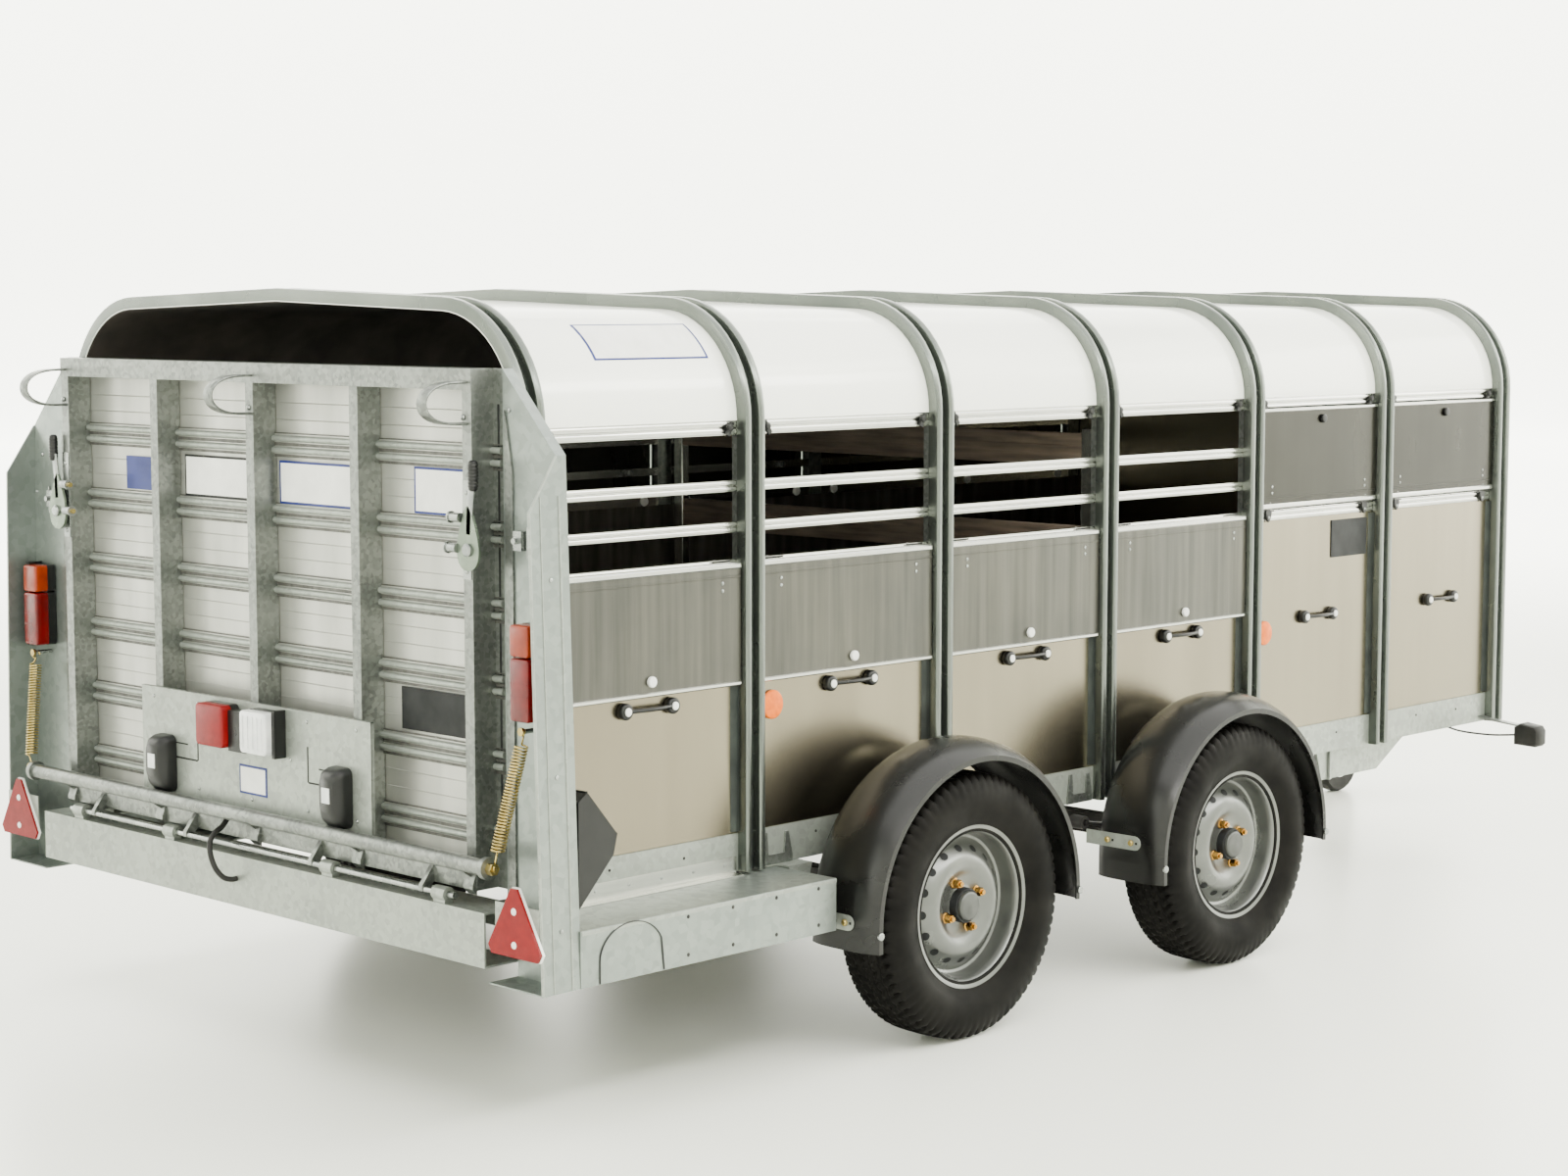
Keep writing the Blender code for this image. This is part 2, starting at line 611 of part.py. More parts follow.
def make_axle(name, x, mat, parent):
    """A square beam with a brake drum and a wheel stub at each end."""
    half = 0.025
    tube = block((x - half, -DRUM_Y[0] - 0.01, WHEEL_R - half), (x + half, DRUM_Y[0] + 0.01, WHEEL_R + half))
    pieces = [tube]
    for side in (-1, 1):
        drum_ys = sorted((side * DRUM_Y[0], side * DRUM_Y[1]))
        stub_ys = sorted((side * (DRUM_Y[1] - 0.01), side * 1.0))
        pieces.append(rod((x, drum_ys[0], WHEEL_R), (x, drum_ys[1], WHEEL_R), DRUM_R, 24))
        pieces.append(rod((x, stub_ys[0], WHEEL_R), (x, stub_ys[1], WHEEL_R), STUB_R, WHEEL_STEPS))
    finish(f"axle_{name}", pieces, mat, origin=parent.location, parent=parent, smooth=True)


def make_wheel(name, x, side, rim_mat, tyre_mat, parent):
    """A steel rim and its tyre, both turned about the axle."""
    rim = [
        (0.1825, 1.0177),
        (0.1825, 1.0142),
        (0.1655, 1.0112),
        (0.1655, 0.8935),
        (0.1825, 0.8910),
        (0.1825, 0.8865),
        (0.1610, 0.8865),
        (0.1580, 0.9550),
        (0.1150, 0.9720),
        (BORE_R, 0.9600),
        (BORE_R, 1.0060),
        (0.0360, 1.0060),
        (0.0370, 0.9660),
        (0.1150, 0.9790),
        (0.1610, 0.9640),
        (0.1610, 1.0145),
    ]
    tyre = [
        (0.1662, 0.8945),
        (0.1662, 1.0102),
        (0.1835, 1.0135),
        (0.2350, 1.0355),
        (0.2850, 1.0210),
        (WHEEL_R, 0.9960),
        (WHEEL_R, 0.9100),
        (0.2850, 0.8850),
        (0.2350, 0.8705),
        (0.1835, 0.8912),
    ]
    centre = (x, 0, WHEEL_R)
    for node, profile, mat in (("rim", rim, rim_mat), ("tyre", tyre, tyre_mat)):
        body = turned([(r, side * t) for r, t in profile], centre, "y", WHEEL_STEPS)
        finish(f"{node}_{name}", [body], mat, origin=parent.location, parent=parent, smooth=True)


def make_mudguard(name, x, side, mat):
    """An arched shell over one wheel, with a lip down each edge and a longer tail behind."""
    y0, y1 = MUDGUARD_Y
    r, wall, lip = MUDGUARD_R, 0.005, 0.016
    profile = [
        (r - lip, y0),
        (r - lip, y0 + wall),
        (r, y0 + wall),
        (r + 0.006, (y0 + y1) / 2),
        (r, y1 - wall),
        (r - lip, y1 - wall),
        (r - lip, y1),
        (r + wall - 0.003, y1),
        (r + wall + 0.006, (y0 + y1) / 2),
        (r + wall - 0.003, y0),
    ]
    profile = [(radius, side * t) for radius, t in profile]
    arc = turned(profile, (x, 0, WHEEL_R), "y", 16, math.radians(-6), math.radians(188))
    finish(f"mudguard_{name}", [arc], mat, smooth=True)


def make_gate(mat):
    """The partition gate across the middle of the body: a frame with four slats, hung at the left wall."""
    half, (z0, z1) = GATE_HALF_WIDTH, GATE_Z
    thin = 0.013
    pieces = [rod((GATE_X, half, z0 - 0.01), (GATE_X, half, z1 + 0.02), 0.014)]
    for y0, y1 in ((-half, -half + 0.04), (half - 0.04, half)):
        pieces.append(block((GATE_X - thin, y0, z0), (GATE_X + thin, y1, z1)))
    slats = 4
    for i in range(slats):
        z = z0 + 0.012 + (z1 - z0 - 0.104) * i / (slats - 1)
        pieces.append(block((GATE_X - thin + 0.002, -half + 0.01, z), (GATE_X + thin - 0.002, half - 0.01, z + 0.08)))
    finish("partition_gate", pieces, mat, origin=(GATE_X, half, 0))


def make_coupling(head_mat, handle_mat, grip_mat):
    """The ball coupling with its handle, and the handbrake lever beside it."""
    z = COUPLING_Z
    cup = [(0.0, 0.042), (0.026, 0.040), (0.042, 0.022), (0.042, -0.036), (BALL_R + 0.004, -0.036)]
    cup += [(BALL_R, -0.010), (BALL_R, 0.012), (0.014, 0.026), (0.0, 0.029)]
    pieces = [turned(cup, (BALL_X, 0, z), "z", 24)]
    neck = [(BALL_X - 0.037, -0.03), (BALL_X - 0.037, 0.036), (2.36, 0.045), (2.15, 0.045), (2.15, -0.0325)]
    neck += [(2.34, -0.0325)]
    pieces.append(prism([(x, z + dz) for x, dz in neck], "y", -0.034, 0.034))
    pieces.append(block((2.06, -0.055, BEAM_Z + 0.0435), (2.235, 0.055, z + 0.01)))
    finish("coupling_head", pieces, head_mat)
    px, py, pz = HANDLE_PIVOT
    handle = [(0.024, -0.014), (0.03, 0.004), (0.0, 0.02), (-0.15, 0.05), (-0.155, 0.036), (-0.02, 0.0), (-0.012, -0.014)]
    grip = prism([(px + u, pz + v) for u, v in handle], "y", -0.016, 0.016)
    finish("coupling_handle", [grip], handle_mat, origin=HANDLE_PIVOT)
    px, py, pz = BRAKE_PIVOT
    lever = [(0.02, -0.02), (0.02, 0.02), (-0.02, 0.024), (-0.36, 0.052), (-0.36, 0.028), (-0.02, -0.02)]
    bar = prism([(px + u, pz + v) for u, v in lever], "y", py - 0.005, py + 0.005)
    hold = rod((px - 0.30, py, pz + 0.035), (px - 0.42, py, pz + 0.045), 0.014)
    finish("handbrake_lever", [bar, hold], grip_mat, origin=BRAKE_PIVOT)


def make_jockey(steel_mat, wheel_mat):
    """The jockey leg: a tube with a crank, which slides in its clamp, a swivelling fork and a wheel."""
    x, y = JOCKEY
    axle_x, wheel_z = x - JOCKEY_TRAIL, JOCKEY_WHEEL_R
    tube = [
        rod((x, y, 0.26), (x, y, 0.80), JOCKEY_TUBE_R, 16),
        rod((x, y, 0.79), (x, y, 0.835), 0.009, 8),
        rod((x, y, 0.825), (x - 0.12, y, 0.825), 0.006, 8),
        rod((x - 0.115, y, 0.82), (x - 0.115, y, 0.90), 0.011, 8),
    ]
    slide = pivot("jockey_slide_axis", (x, y, 0.26))
    finish("jockey_tube", tube, steel_mat, origin=slide.location, parent=slide, smooth=True)
    swivel = pivot("jockey_swivel_axis", (x, y, 0.24))
    crown = block((x - 0.055, y - 0.035, 0.213), (x + 0.022, y + 0.035, 0.219))
    stem = rod((x, y, 0.216), (x, y, 0.26 - GAP), 0.019, 16)
    fork = [stem, crown]
    for dy in (-0.035, 0.031):
        outline = [(x - 0.055, 0.218), (x + 0.02, 0.218), (axle_x + 0.014, 0.088), (axle_x - 0.014, 0.088)]
        fork.append(prism(outline, "y", y + dy, y + dy + 0.004))
    fork.append(rod((axle_x, y - 0.034, wheel_z), (axle_x, y + 0.034, wheel_z), 0.008, 24))
    finish("jockey_fork", fork, steel_mat, origin=swivel.location, parent=swivel)
    spin = pivot("jockey_spin_axis", (axle_x, y, wheel_z))
    profile = [(0.0086, -0.027), (0.05, -0.022), (0.094, -0.024), (JOCKEY_WHEEL_R, -0.015)]
    profile += [(r, -t) for r, t in profile[::-1]]
    wheel = turned(profile, (axle_x, y, wheel_z), "y", 24)
    finish("jockey_wheel", [wheel], wheel_mat, origin=spin.location, parent=spin, smooth=True)


def smooth_route(points, per_span):
    """A Catmull-Rom curve through the points, with per_span steps between each two."""
    ends = [2 * Vector(points[0]) - Vector(points[1]), *map(Vector, points), 2 * Vector(points[-1]) - Vector(points[-2])]
    route = []
    for a, b, c, d in zip(ends, ends[1:], ends[2:], ends[3:]):
        for i in range(per_span):
            t = i / per_span
            route.append(0.5 * (2 * b + (c - a) * t + (2 * a - 5 * b + 4 * c - d) * t**2 + (3 * b - 3 * c + d - a) * t**3))
    route.append(ends[-2])
    return route


def make_lead(mat):
    curve = bpy.data.curves.new("lamp_cable", "CURVE")
    curve.dimensions = "3D"
    curve.bevel_depth = LEAD_R
    curve.bevel_resolution = 2
    curve.use_fill_caps = True
    route = smooth_route(LEAD_ROUTE, 2)
    spline = curve.splines.new("POLY")
    spline.points.add(len(route) - 1)
    for point, place in zip(spline.points, route):
        point.co = (*place, 1.0)
    curve.materials.append(mat)
    bpy.context.scene.collection.objects.link(bpy.data.objects.new("lamp_cable", curve))


def main():
    clear_scene()
    steel = material("galvanised_steel", (0.52, 0.55, 0.57), 0.42, 0.85)
    alloy = material("aluminium_sheet", (0.62, 0.61, 0.58), 0.35, 0.95)
    bright = material("bright_aluminium", (0.8, 0.8, 0.8), 0.25, 1.0)
    roof = material("white_roof_sheet", (0.86, 0.86, 0.80), 0.3, 0.0)
    board = material("floor_board", (0.30, 0.29, 0.27), 0.6, 0.0)
    silver = material("silver_wheel_paint", (0.6, 0.62, 0.64), 0.35, 0.6)
    rubber = material("tyre_rubber", (0.03, 0.03, 0.03), 0.8, 0.0)
    black = material("black_plastic", (0.02, 0.02, 0.022), 0.5, 0.0)
    zinc = material("yellow_zinc", (0.66, 0.60, 0.38), 0.35, 0.9)
    dark = material("dark_steel", (0.10, 0.10, 0.11), 0.5, 0.7)

    make_chassis(steel)
    make_floor(board)
    make_hoops(steel)
    make_roof(roof)
    make_front_panel(alloy)
    for side, name in ((-1, "right"), (1, "left")):
        make_side(side, name, alloy, bright)
        for bay in range(1, HOOPS):
            make_flap(side, name, bay, name == "right" and bay in FLAPS_DOWN_RIGHT, alloy)
        make_rear_corner(side, name, steel)
        make_suspension(side, name, dark)
        make_ramp_spring(side, name, zinc)
    ramp_axis = pivot("ramp_axis", (RAMP_HINGE[0], 0, RAMP_HINGE[1]))
    make_ramp(steel, alloy, steel, ramp_axis)
    for side, name in ((-1, "right"), (1, "left")):
        make_latch(side, name, zinc, ramp_axis)
    for where, x in AXLE_XS.items():
        axle_axis = pivot(f"axle_{where}_axis", (x, 0, WHEEL_R))
        make_axle(where, x, dark, axle_axis)
        for side, name in ((-1, "right"), (1, "left")):
            spin = pivot(f"wheel_{where}_{name}_axis", (x, side * 0.953, WHEEL_R))
            make_wheel(f"{where}_{name}", x, side, silver, rubber, spin)
            make_mudguard(f"{where}_{name}", x, side, black)
    make_gate(alloy)
    make_coupling(dark, black, black)
    make_jockey(steel, rubber)
    make_lead(black)


main()
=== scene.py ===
"""Looks of the livestock trailer: fine surfaces, finishes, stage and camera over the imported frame.

Metres, +X forward, +Y left, +Z up. Every new piece is a surface computed from formulas on the frame's own boxes.
"""

import math

import bmesh
import bpy
import numpy as np
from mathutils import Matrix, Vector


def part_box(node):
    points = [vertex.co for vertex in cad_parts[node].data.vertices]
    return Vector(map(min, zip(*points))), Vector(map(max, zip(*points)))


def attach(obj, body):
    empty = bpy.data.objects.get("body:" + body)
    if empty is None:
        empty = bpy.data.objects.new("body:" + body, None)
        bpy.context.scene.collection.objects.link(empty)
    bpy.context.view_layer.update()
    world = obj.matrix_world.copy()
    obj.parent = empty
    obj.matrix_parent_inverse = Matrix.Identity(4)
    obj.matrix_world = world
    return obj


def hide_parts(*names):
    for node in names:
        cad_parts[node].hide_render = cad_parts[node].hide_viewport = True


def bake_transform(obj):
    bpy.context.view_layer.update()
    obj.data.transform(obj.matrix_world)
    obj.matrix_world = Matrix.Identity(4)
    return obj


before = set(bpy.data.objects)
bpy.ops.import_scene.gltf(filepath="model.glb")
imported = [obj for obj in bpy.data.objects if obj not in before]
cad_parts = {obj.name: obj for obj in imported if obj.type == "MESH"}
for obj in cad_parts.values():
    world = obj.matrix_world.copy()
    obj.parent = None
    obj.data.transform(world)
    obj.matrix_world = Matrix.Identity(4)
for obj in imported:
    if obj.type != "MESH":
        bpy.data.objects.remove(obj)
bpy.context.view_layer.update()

PI = math.pi
SIDES = (("right", -1), ("left", 1))
OUT = {-1: "-y", 1: "y"}


def lo(node):
    return np.array(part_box(node)[0], float)


def hi(node):
    return np.array(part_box(node)[1], float)


def mid(node):
    return (lo(node) + hi(node)) / 2


# ---------------------------------------------------------------- anchors read from the frame
HOOP_XS = [mid(f"hoop_{i}")[0] for i in range(7)]
HALF_WIDTH = hi("hoop_0")[1]
HOOP_HALF = (hi("hoop_0")[0] - lo("hoop_0")[0]) / 2
HOOP_DEPTH = 0.026
HOOP_FOOT = lo("hoop_0")[2]
CORNER_R = 0.258  # eaves corner, its centre's height, and the roof's fall to each side
CORNER_Z = 1.3815
SLOPE = math.radians(1.9)
SKIN_Y = hi("side_panel_left")[1]
REAR_X = lo("side_panel_left")[0]
FRONT_X = hi("side_panel_left")[0]
WAIST = (1.060, 1.087)
EAVES = (1.350, 1.380)
VENTS = ((1.1445, 1.166), (1.231, 1.254))
BAR_X0 = -2.418
BAR_X1 = -2.3595
WHEELS = {"rear": mid("rim_rear_left")[0], "front": mid("rim_front_left")[0]}
WHEEL_Z = mid("tyre_rear_left")[2]


# ---------------------------------------------------------------- surfaces
def join(surfs):
    """Several (points, faces) as one."""
    points, faces, start = [], [], 0
    for p, f in surfs:
        points.append(p)
        faces += [tuple(i + start for i in face) for face in f]
        start += len(p)
    return np.concatenate(points), faces


def quads(nu, nv, wrap_u=False, wrap_v=False):
    """The faces of an nu by nv grid of points, joined end to end where it wraps."""
    u = np.arange(nu if wrap_u else nu - 1)
    v = np.arange(nv if wrap_v else nv - 1)
    u, v = [a.ravel() for a in np.meshgrid(u, v, indexing="ij")]
    u1, v1 = (u + 1) % nu, (v + 1) % nv
    return np.stack([u * nv + v, u1 * nv + v, u1 * nv + v1, u * nv + v1], 1).tolist()


def skin(sections, closed=False):
    """Equal outlines in a row, bridged into a closed solid: capped at both ends, or joined end to start."""
    p = np.asarray(sections, float)
    nu, nv = p.shape[:2]
    faces = quads(nu, nv, wrap_u=closed, wrap_v=True)
    if not closed:
        faces += [list(range(nv))[::-1], list(range((nu - 1) * nv, nu * nv))]
    return p.reshape(-1, 3), faces


def prism(outline, axis, a, b):
    """An outline of the other two coordinates, in X, Y, Z order, carried from a to b along an axis."""
    o = np.asarray(outline, float)
    out = []
    for t in (a, b):
        out.append(np.insert(o, "xyz".index(axis), t, axis=1))
    return skin(out)


def cuboid(a, b):
    (x0, y0, z0), (x1, y1, z1) = np.minimum(a, b), np.maximum(a, b)
    return prism([(x0, y0), (x1, y0), (x1, y1), (x0, y1)], "z", z0, z1)


def frames_of(path, closed=False):
    """Unit tangent, side and up vectors along a path; the up vector is carried from point to point."""
    p = np.asarray(path, float)
    if closed:
        t = np.roll(p, -1, 0) - np.roll(p, 1, 0)
    else:
        t = np.gradient(p, axis=0)
    t /= np.linalg.norm(t, axis=1)[:, None]
    up = np.array([0, 0, 1.0]) if abs(t[0][2]) < 0.9 else np.array([1.0, 0, 0])
    sides, ups = [], []
    for tangent in t:
        up = up - tangent * (up @ tangent)
        up /= np.linalg.norm(up)
        ups.append(up)
        sides.append(np.cross(up, tangent))
    return p, np.array(sides), np.array(ups)


def sweep(outline, path, closed=False):
    """An outline of (side, up) points carried along a path."""
    p, side, up = frames_of(path, closed)
    o = np.asarray(outline, float)
    sections = p[:, None] + side[:, None] * o[None, :, :1] + up[:, None] * o[None, :, 1:]
    return skin(sections, closed)


def circle(r, n, phase=0.0):
    a = phase + np.arange(n) * 2 * PI / n
    return np.stack([r * np.cos(a), r * np.sin(a)], 1)


def rod(a, b, r, n=16):
    return sweep(circle(r, n), [a, b])


def turned(profile, centre, axis, n, first=0.0, last=None):
    """A closed profile of (radius, distance along the axis), turned all round or between two angles."""
    whole = last is None
    a = first + (np.arange(n) * 2 * PI / n if whole else np.linspace(0, last - first, n + 1))
    o = np.asarray(profile, float)
    c, s = np.cos(a)[:, None] * o[:, 0], np.sin(a)[:, None] * o[:, 0]
    t = np.broadcast_to(o[:, 1], c.shape)
    order = {"x": (t, c, s), "y": (c, t, s), "z": (c, s, t)}[axis]
    return skin(np.stack(order, 2) + np.asarray(centre, float), closed=whole)


def studs(places, axis, r, h, n=8):
    """Round-headed rivets: a quarter ellipse turned about the outward axis at each place."""
    a = np.linspace(0, PI / 2, 4)
    profile = [(max(r * math.cos(t), 0.0004), h * math.sin(t)) for t in a] + [(0.0004, -0.0008), (r, -0.0008)]
    sign = -1 if axis.startswith("-") else 1
    profile = [(q, sign * t) for q, t in profile]
    return join([turned(profile, place, axis[-1], n) for place in places])


def rounded(w, h, r, n=4):
    """A rounded rectangle of width w and height h about the origin."""
    out = []
    for k, (sx, sy) in enumerate(((1, 1), (-1, 1), (-1, -1), (1, -1))):
        a = np.linspace(k * PI / 2, (k + 1) * PI / 2, n + 1)
        out.append(np.stack([sx * (w / 2 - r) + r * np.cos(a), sy * (h / 2 - r) + r * np.sin(a)], 1))
    return np.concatenate(out)


def smooth(points, steps):
    """A Catmull-Rom curve through the points."""
    p = np.asarray(points, float)
    p = np.concatenate([[2 * p[0] - p[1]], p, [2 * p[-1] - p[-2]]])
    t = np.linspace(0, 1, steps, endpoint=False)[:, None]
    out = []
    for a, b, c, d in zip(p, p[1:], p[2:], p[3:]):
        out.append(0.5 * (2 * b + (c - a) * t + (2 * a - 5 * b + 4 * c - d) * t**2 + (3 * b - 3 * c + d - a) *
                          t**3))
    return np.concatenate([*out, p[-2:-1]])


def make(name, body, parts, stands_for=(), bevel=0.0, angle=32):
    """One object from (surface, material) parts, facing outwards, on a body of the frame."""
    mesh = bpy.data.meshes.new(name)
    surfs = [surf for surf, _ in parts]
    points, faces = join(surfs)
    mesh.from_pydata(points, [], faces)
    names = list(dict.fromkeys(mat for _, mat in parts))
    for mat in names:
        mesh.materials.append(MATERIALS[mat])
    index = np.concatenate([np.full(len(f), names.index(mat)) for (_, f), mat in parts])
    mesh.polygons.foreach_set("material_index", index.astype(np.int32))
    bm = bmesh.new()
    bm.from_mesh(mesh)
    bmesh.ops.recalc_face_normals(bm, faces=bm.faces)
    bm.to_mesh(mesh)
    bm.free()
    mesh.shade_smooth()
    mesh.set_sharp_from_angle(angle=math.radians(angle))
    obj = bpy.data.objects.new(name, mesh)
    bpy.context.scene.collection.objects.link(obj)
    if bevel:
        mod = obj.modifiers.new("edges", "BEVEL")
        mod.width = bevel
        mod.segments = 2
        mod.limit_method = "ANGLE"
        mod.angle_limit = math.radians(40)
    if body:
        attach(obj, body)
    if stands_for:
        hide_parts(*stands_for)
    return obj


# ---------------------------------------------------------------- finishes
MATERIALS = {}


def finish(name, light, dark, metallic, rough, scale=5.0, stretch=(1, 1, 1), spread=0.1, bump=0.0,
           bump_scale=300.0, cells=0.0, dust=0.0, coat=0.0, dust_color=(0.42, 0.40, 0.35), **sockets):
    """A finish in object space: stretched noise mixes two shades and moves the roughness, Voronoi cells add
    spangle, a broad noise lays dust, and a fine noise raises the surface."""
    mat = bpy.data.materials.new(name)
    mat.use_nodes = True
    nodes, links = mat.node_tree.nodes, mat.node_tree.links
    shader = nodes["Principled BSDF"]
    place = nodes.new("ShaderNodeTexCoord").outputs["Object"]
    mapping = nodes.new("ShaderNodeMapping")
    mapping.inputs["Scale"].default_value = stretch
    links.new(place, mapping.inputs["Vector"])
    noise = nodes.new("ShaderNodeTexNoise")
    noise.inputs["Scale"].default_value = scale
    noise.inputs["Detail"].default_value = 6
    links.new(mapping.outputs[0], noise.inputs["Vector"])
    value = noise.outputs["Fac"]
    if cells:
        voronoi = nodes.new("ShaderNodeTexVoronoi")
        voronoi.inputs["Scale"].default_value = cells
        links.new(place, voronoi.inputs["Vector"])
        both = nodes.new("ShaderNodeMath")
        both.operation = "MULTIPLY_ADD"
        links.new(voronoi.outputs["Color"], both.inputs[0])
        both.inputs[1].default_value = 0.45
        half = nodes.new("ShaderNodeMath")
        half.operation = "MULTIPLY"
        links.new(value, half.inputs[0])
        half.inputs[1].default_value = 0.6
        links.new(half.outputs[0], both.inputs[2])
        value = both.outputs[0]
    spread_range = nodes.new("ShaderNodeMapRange")
    spread_range.inputs["From Min"].default_value = 0.32
    spread_range.inputs["From Max"].default_value = 0.68
    links.new(value, spread_range.inputs["Value"])
    value = spread_range.outputs["Result"]
    shades = nodes.new("ShaderNodeMix")
    shades.data_type = "RGBA"
    shades.inputs["A"].default_value = (*dark, 1)
    shades.inputs["B"].default_value = (*light, 1)
    links.new(value, shades.inputs["Factor"])
    color = shades.outputs["Result"]
    roughness = nodes.new("ShaderNodeMapRange")
    roughness.inputs["To Min"].default_value = rough + spread / 2
    roughness.inputs["To Max"].default_value = max(rough - spread / 2, 0.03)
    links.new(value, roughness.inputs["Value"])
    rough_out = roughness.outputs["Result"]
    if dust:
        broad = nodes.new("ShaderNodeTexNoise")
        broad.inputs["Scale"].default_value = 3.1
        broad.inputs["Detail"].default_value = 9
        broad.inputs["Roughness"].default_value = 0.62
        links.new(place, broad.inputs["Vector"])
        amount = nodes.new("ShaderNodeMapRange")
        amount.inputs["From Min"].default_value = 0.42
        amount.inputs["From Max"].default_value = 0.75
        amount.inputs["To Max"].default_value = dust
        links.new(broad.outputs["Fac"], amount.inputs["Value"])
        dusty = nodes.new("ShaderNodeMix")
        dusty.data_type = "RGBA"
        links.new(amount.outputs["Result"], dusty.inputs["Factor"])
        links.new(color, dusty.inputs["A"])
        dusty.inputs["B"].default_value = (*dust_color, 1)
        color = dusty.outputs["Result"]
        more = nodes.new("ShaderNodeMath")
        more.operation = "MULTIPLY_ADD"
        links.new(amount.outputs["Result"], more.inputs[0])
        more.inputs[1].default_value = 0.5
        links.new(rough_out, more.inputs[2])
        rough_out = more.outputs[0]
    links.new(color, shader.inputs["Base Color"])
    links.new(rough_out, shader.inputs["Roughness"])
    shader.inputs["Metallic"].default_value = metallic
    shader.inputs["Coat Weight"].default_value = coat
    if bump:
        fine = nodes.new("ShaderNodeTexNoise")
        fine.inputs["Scale"].default_value = bump_scale
        fine.inputs["Detail"].default_value = 3
        links.new(mapping.outputs[0], fine.inputs["Vector"])
        raised = nodes.new("ShaderNodeBump")
        raised.inputs["Strength"].default_value = bump
        raised.inputs["Distance"].default_value = 0.001
        links.new(fine.outputs["Fac"], raised.inputs["Height"])
        links.new(raised.outputs["Normal"], shader.inputs["Normal"])
    for socket, number in sockets.items():
        shader.inputs[socket.replace("_", " ")].default_value = number
    MATERIALS[name] = mat
    return mat


finish("galvanised", (0.22, 0.234, 0.218), (0.13, 0.14, 0.133), 0.85, 0.36, scale=9, cells=120, spread=0.14,
       dust=0.06)
# Painted shade: a near-black copy of the galvanised finish, laid on the hoop grooves' floors and on the strips beside
# each hoop.
finish("groove_painted_shade", (0.034, 0.040, 0.037), (0.018, 0.021, 0.020), 0.6, 0.42, scale=14, spread=0.1,
       dust=0.04,
       Specular_IOR_Level=0.3)
finish("galvanised_pale", (0.30, 0.325, 0.293), (0.235, 0.254, 0.231), 0.6, 0.40, scale=6, cells=80,
       spread=0.12, dust=0.06)
finish("cheek_zinc", (0.25, 0.28, 0.262), (0.20, 0.226, 0.212), 0.75, 0.34, scale=5, cells=60, spread=0.10,
       dust=0.05)
finish("hoop_zinc", (0.165, 0.180, 0.162), (0.098, 0.110, 0.100), 0.92, 0.27, scale=2.4, stretch=(40, 1.5, 1.5),
       spread=0.1)
finish("panel", (0.250, 0.222, 0.162), (0.216, 0.191, 0.140), 1.0, 0.24, scale=2.2, stretch=(3.5, 1, 0.35),
       spread=0.04,
       bump=0.012, bump_scale=9, dust=0.03, dust_color=(0.30, 0.27, 0.20))
finish("flap_dusty", (0.105, 0.103, 0.090), (0.068, 0.068, 0.061), 0.95, 0.34, scale=3.4, stretch=(14, 1, 0.6),
       spread=0.12,
       bump=0.04, bump_scale=24, dust=0.22, dust_color=(0.185, 0.17, 0.13))
# Painted shade: a darker copy of the flap finish for shut flaps, which stand in shadow; a little dust lies on top.
finish("flap_shut_painted_shade", (0.044, 0.043, 0.036), (0.037, 0.036, 0.030), 1.0, 0.28, scale=2.6, stretch=(4, 1, 0.4),
       spread=0.05,
       bump=0.015, bump_scale=9, dust=0.05, dust_color=(0.16, 0.15, 0.12))
finish("deck_planks", (0.50, 0.50, 0.465), (0.39, 0.392, 0.366), 0.8, 0.36, scale=3, stretch=(1, 4, 0.7),
       spread=0.1,
       bump=0.015, bump_scale=12, dust=0.12, dust_color=(0.44, 0.42, 0.36))
finish("plank_gap", (0.10, 0.10, 0.092), (0.055, 0.055, 0.05), 0.5, 0.5, scale=12, stretch=(1, 6, 1),
       spread=0.1, dust=0.08)
finish("bright", (0.62, 0.62, 0.58), (0.48, 0.485, 0.46), 1.0, 0.22, scale=4, stretch=(1, 20, 20), spread=0.08,
       bump=0.02)
finish("roof_white", (0.89, 0.90, 0.84), (0.83, 0.845, 0.78), 0.0, 0.20, scale=1.4, stretch=(0.4, 3, 3),
       spread=0.06,
       coat=0.45, bump=0.02, bump_scale=40, Coat_Roughness=0.1)
finish("lining", (0.060, 0.050, 0.042), (0.030, 0.026, 0.023), 0.0, 0.7, scale=8, spread=0.15, bump=0.2,
       bump_scale=120)
finish("inner_alloy", (0.12, 0.105, 0.09), (0.06, 0.052, 0.045), 0.6, 0.5, scale=4, stretch=(8, 1, 1),
       spread=0.1, dust=0.15,
       dust_color=(0.2, 0.17, 0.13))
finish("slats", (0.22, 0.165, 0.125), (0.10, 0.075, 0.058), 0.1, 0.5, scale=6, stretch=(1, 1, 12), spread=0.15,
       dust=0.25,
       dust_color=(0.3, 0.25, 0.2))
finish("tyre", (0.0050, 0.0046, 0.0040), (0.0022, 0.0021, 0.0019), 0.0, 0.55, scale=16, spread=0.16, bump=0.25,
       bump_scale=400,
       dust=0.10, dust_color=(0.018, 0.0155, 0.012), Specular_IOR_Level=0.07)
finish("rim_silver", (0.15, 0.156, 0.148), (0.115, 0.120, 0.114), 0.8, 0.30, scale=9, spread=0.1, dust=0.08,
       coat=0.15,
       bump=0.03, bump_scale=700)
finish("guard_plastic", (0.0055, 0.0055, 0.0052), (0.0032, 0.0032, 0.0030), 0.0, 0.26, scale=5, spread=0.10,
       bump=0.08,
       bump_scale=900, dust=0.03, dust_color=(0.03, 0.027, 0.023), Specular_IOR_Level=0.36)
finish("black", (0.0075, 0.0078, 0.0078), (0.004, 0.0042, 0.0042), 0.0, 0.34, scale=14, spread=0.16, bump=0.12,
       bump_scale=700, Specular_IOR_Level=0.32)
finish("rubber", (0.009, 0.009, 0.009), (0.005, 0.005, 0.005), 0.0, 0.52, scale=30, spread=0.12, bump=0.2,
       bump_scale=600,
       dust=0.05, Specular_IOR_Level=0.2)
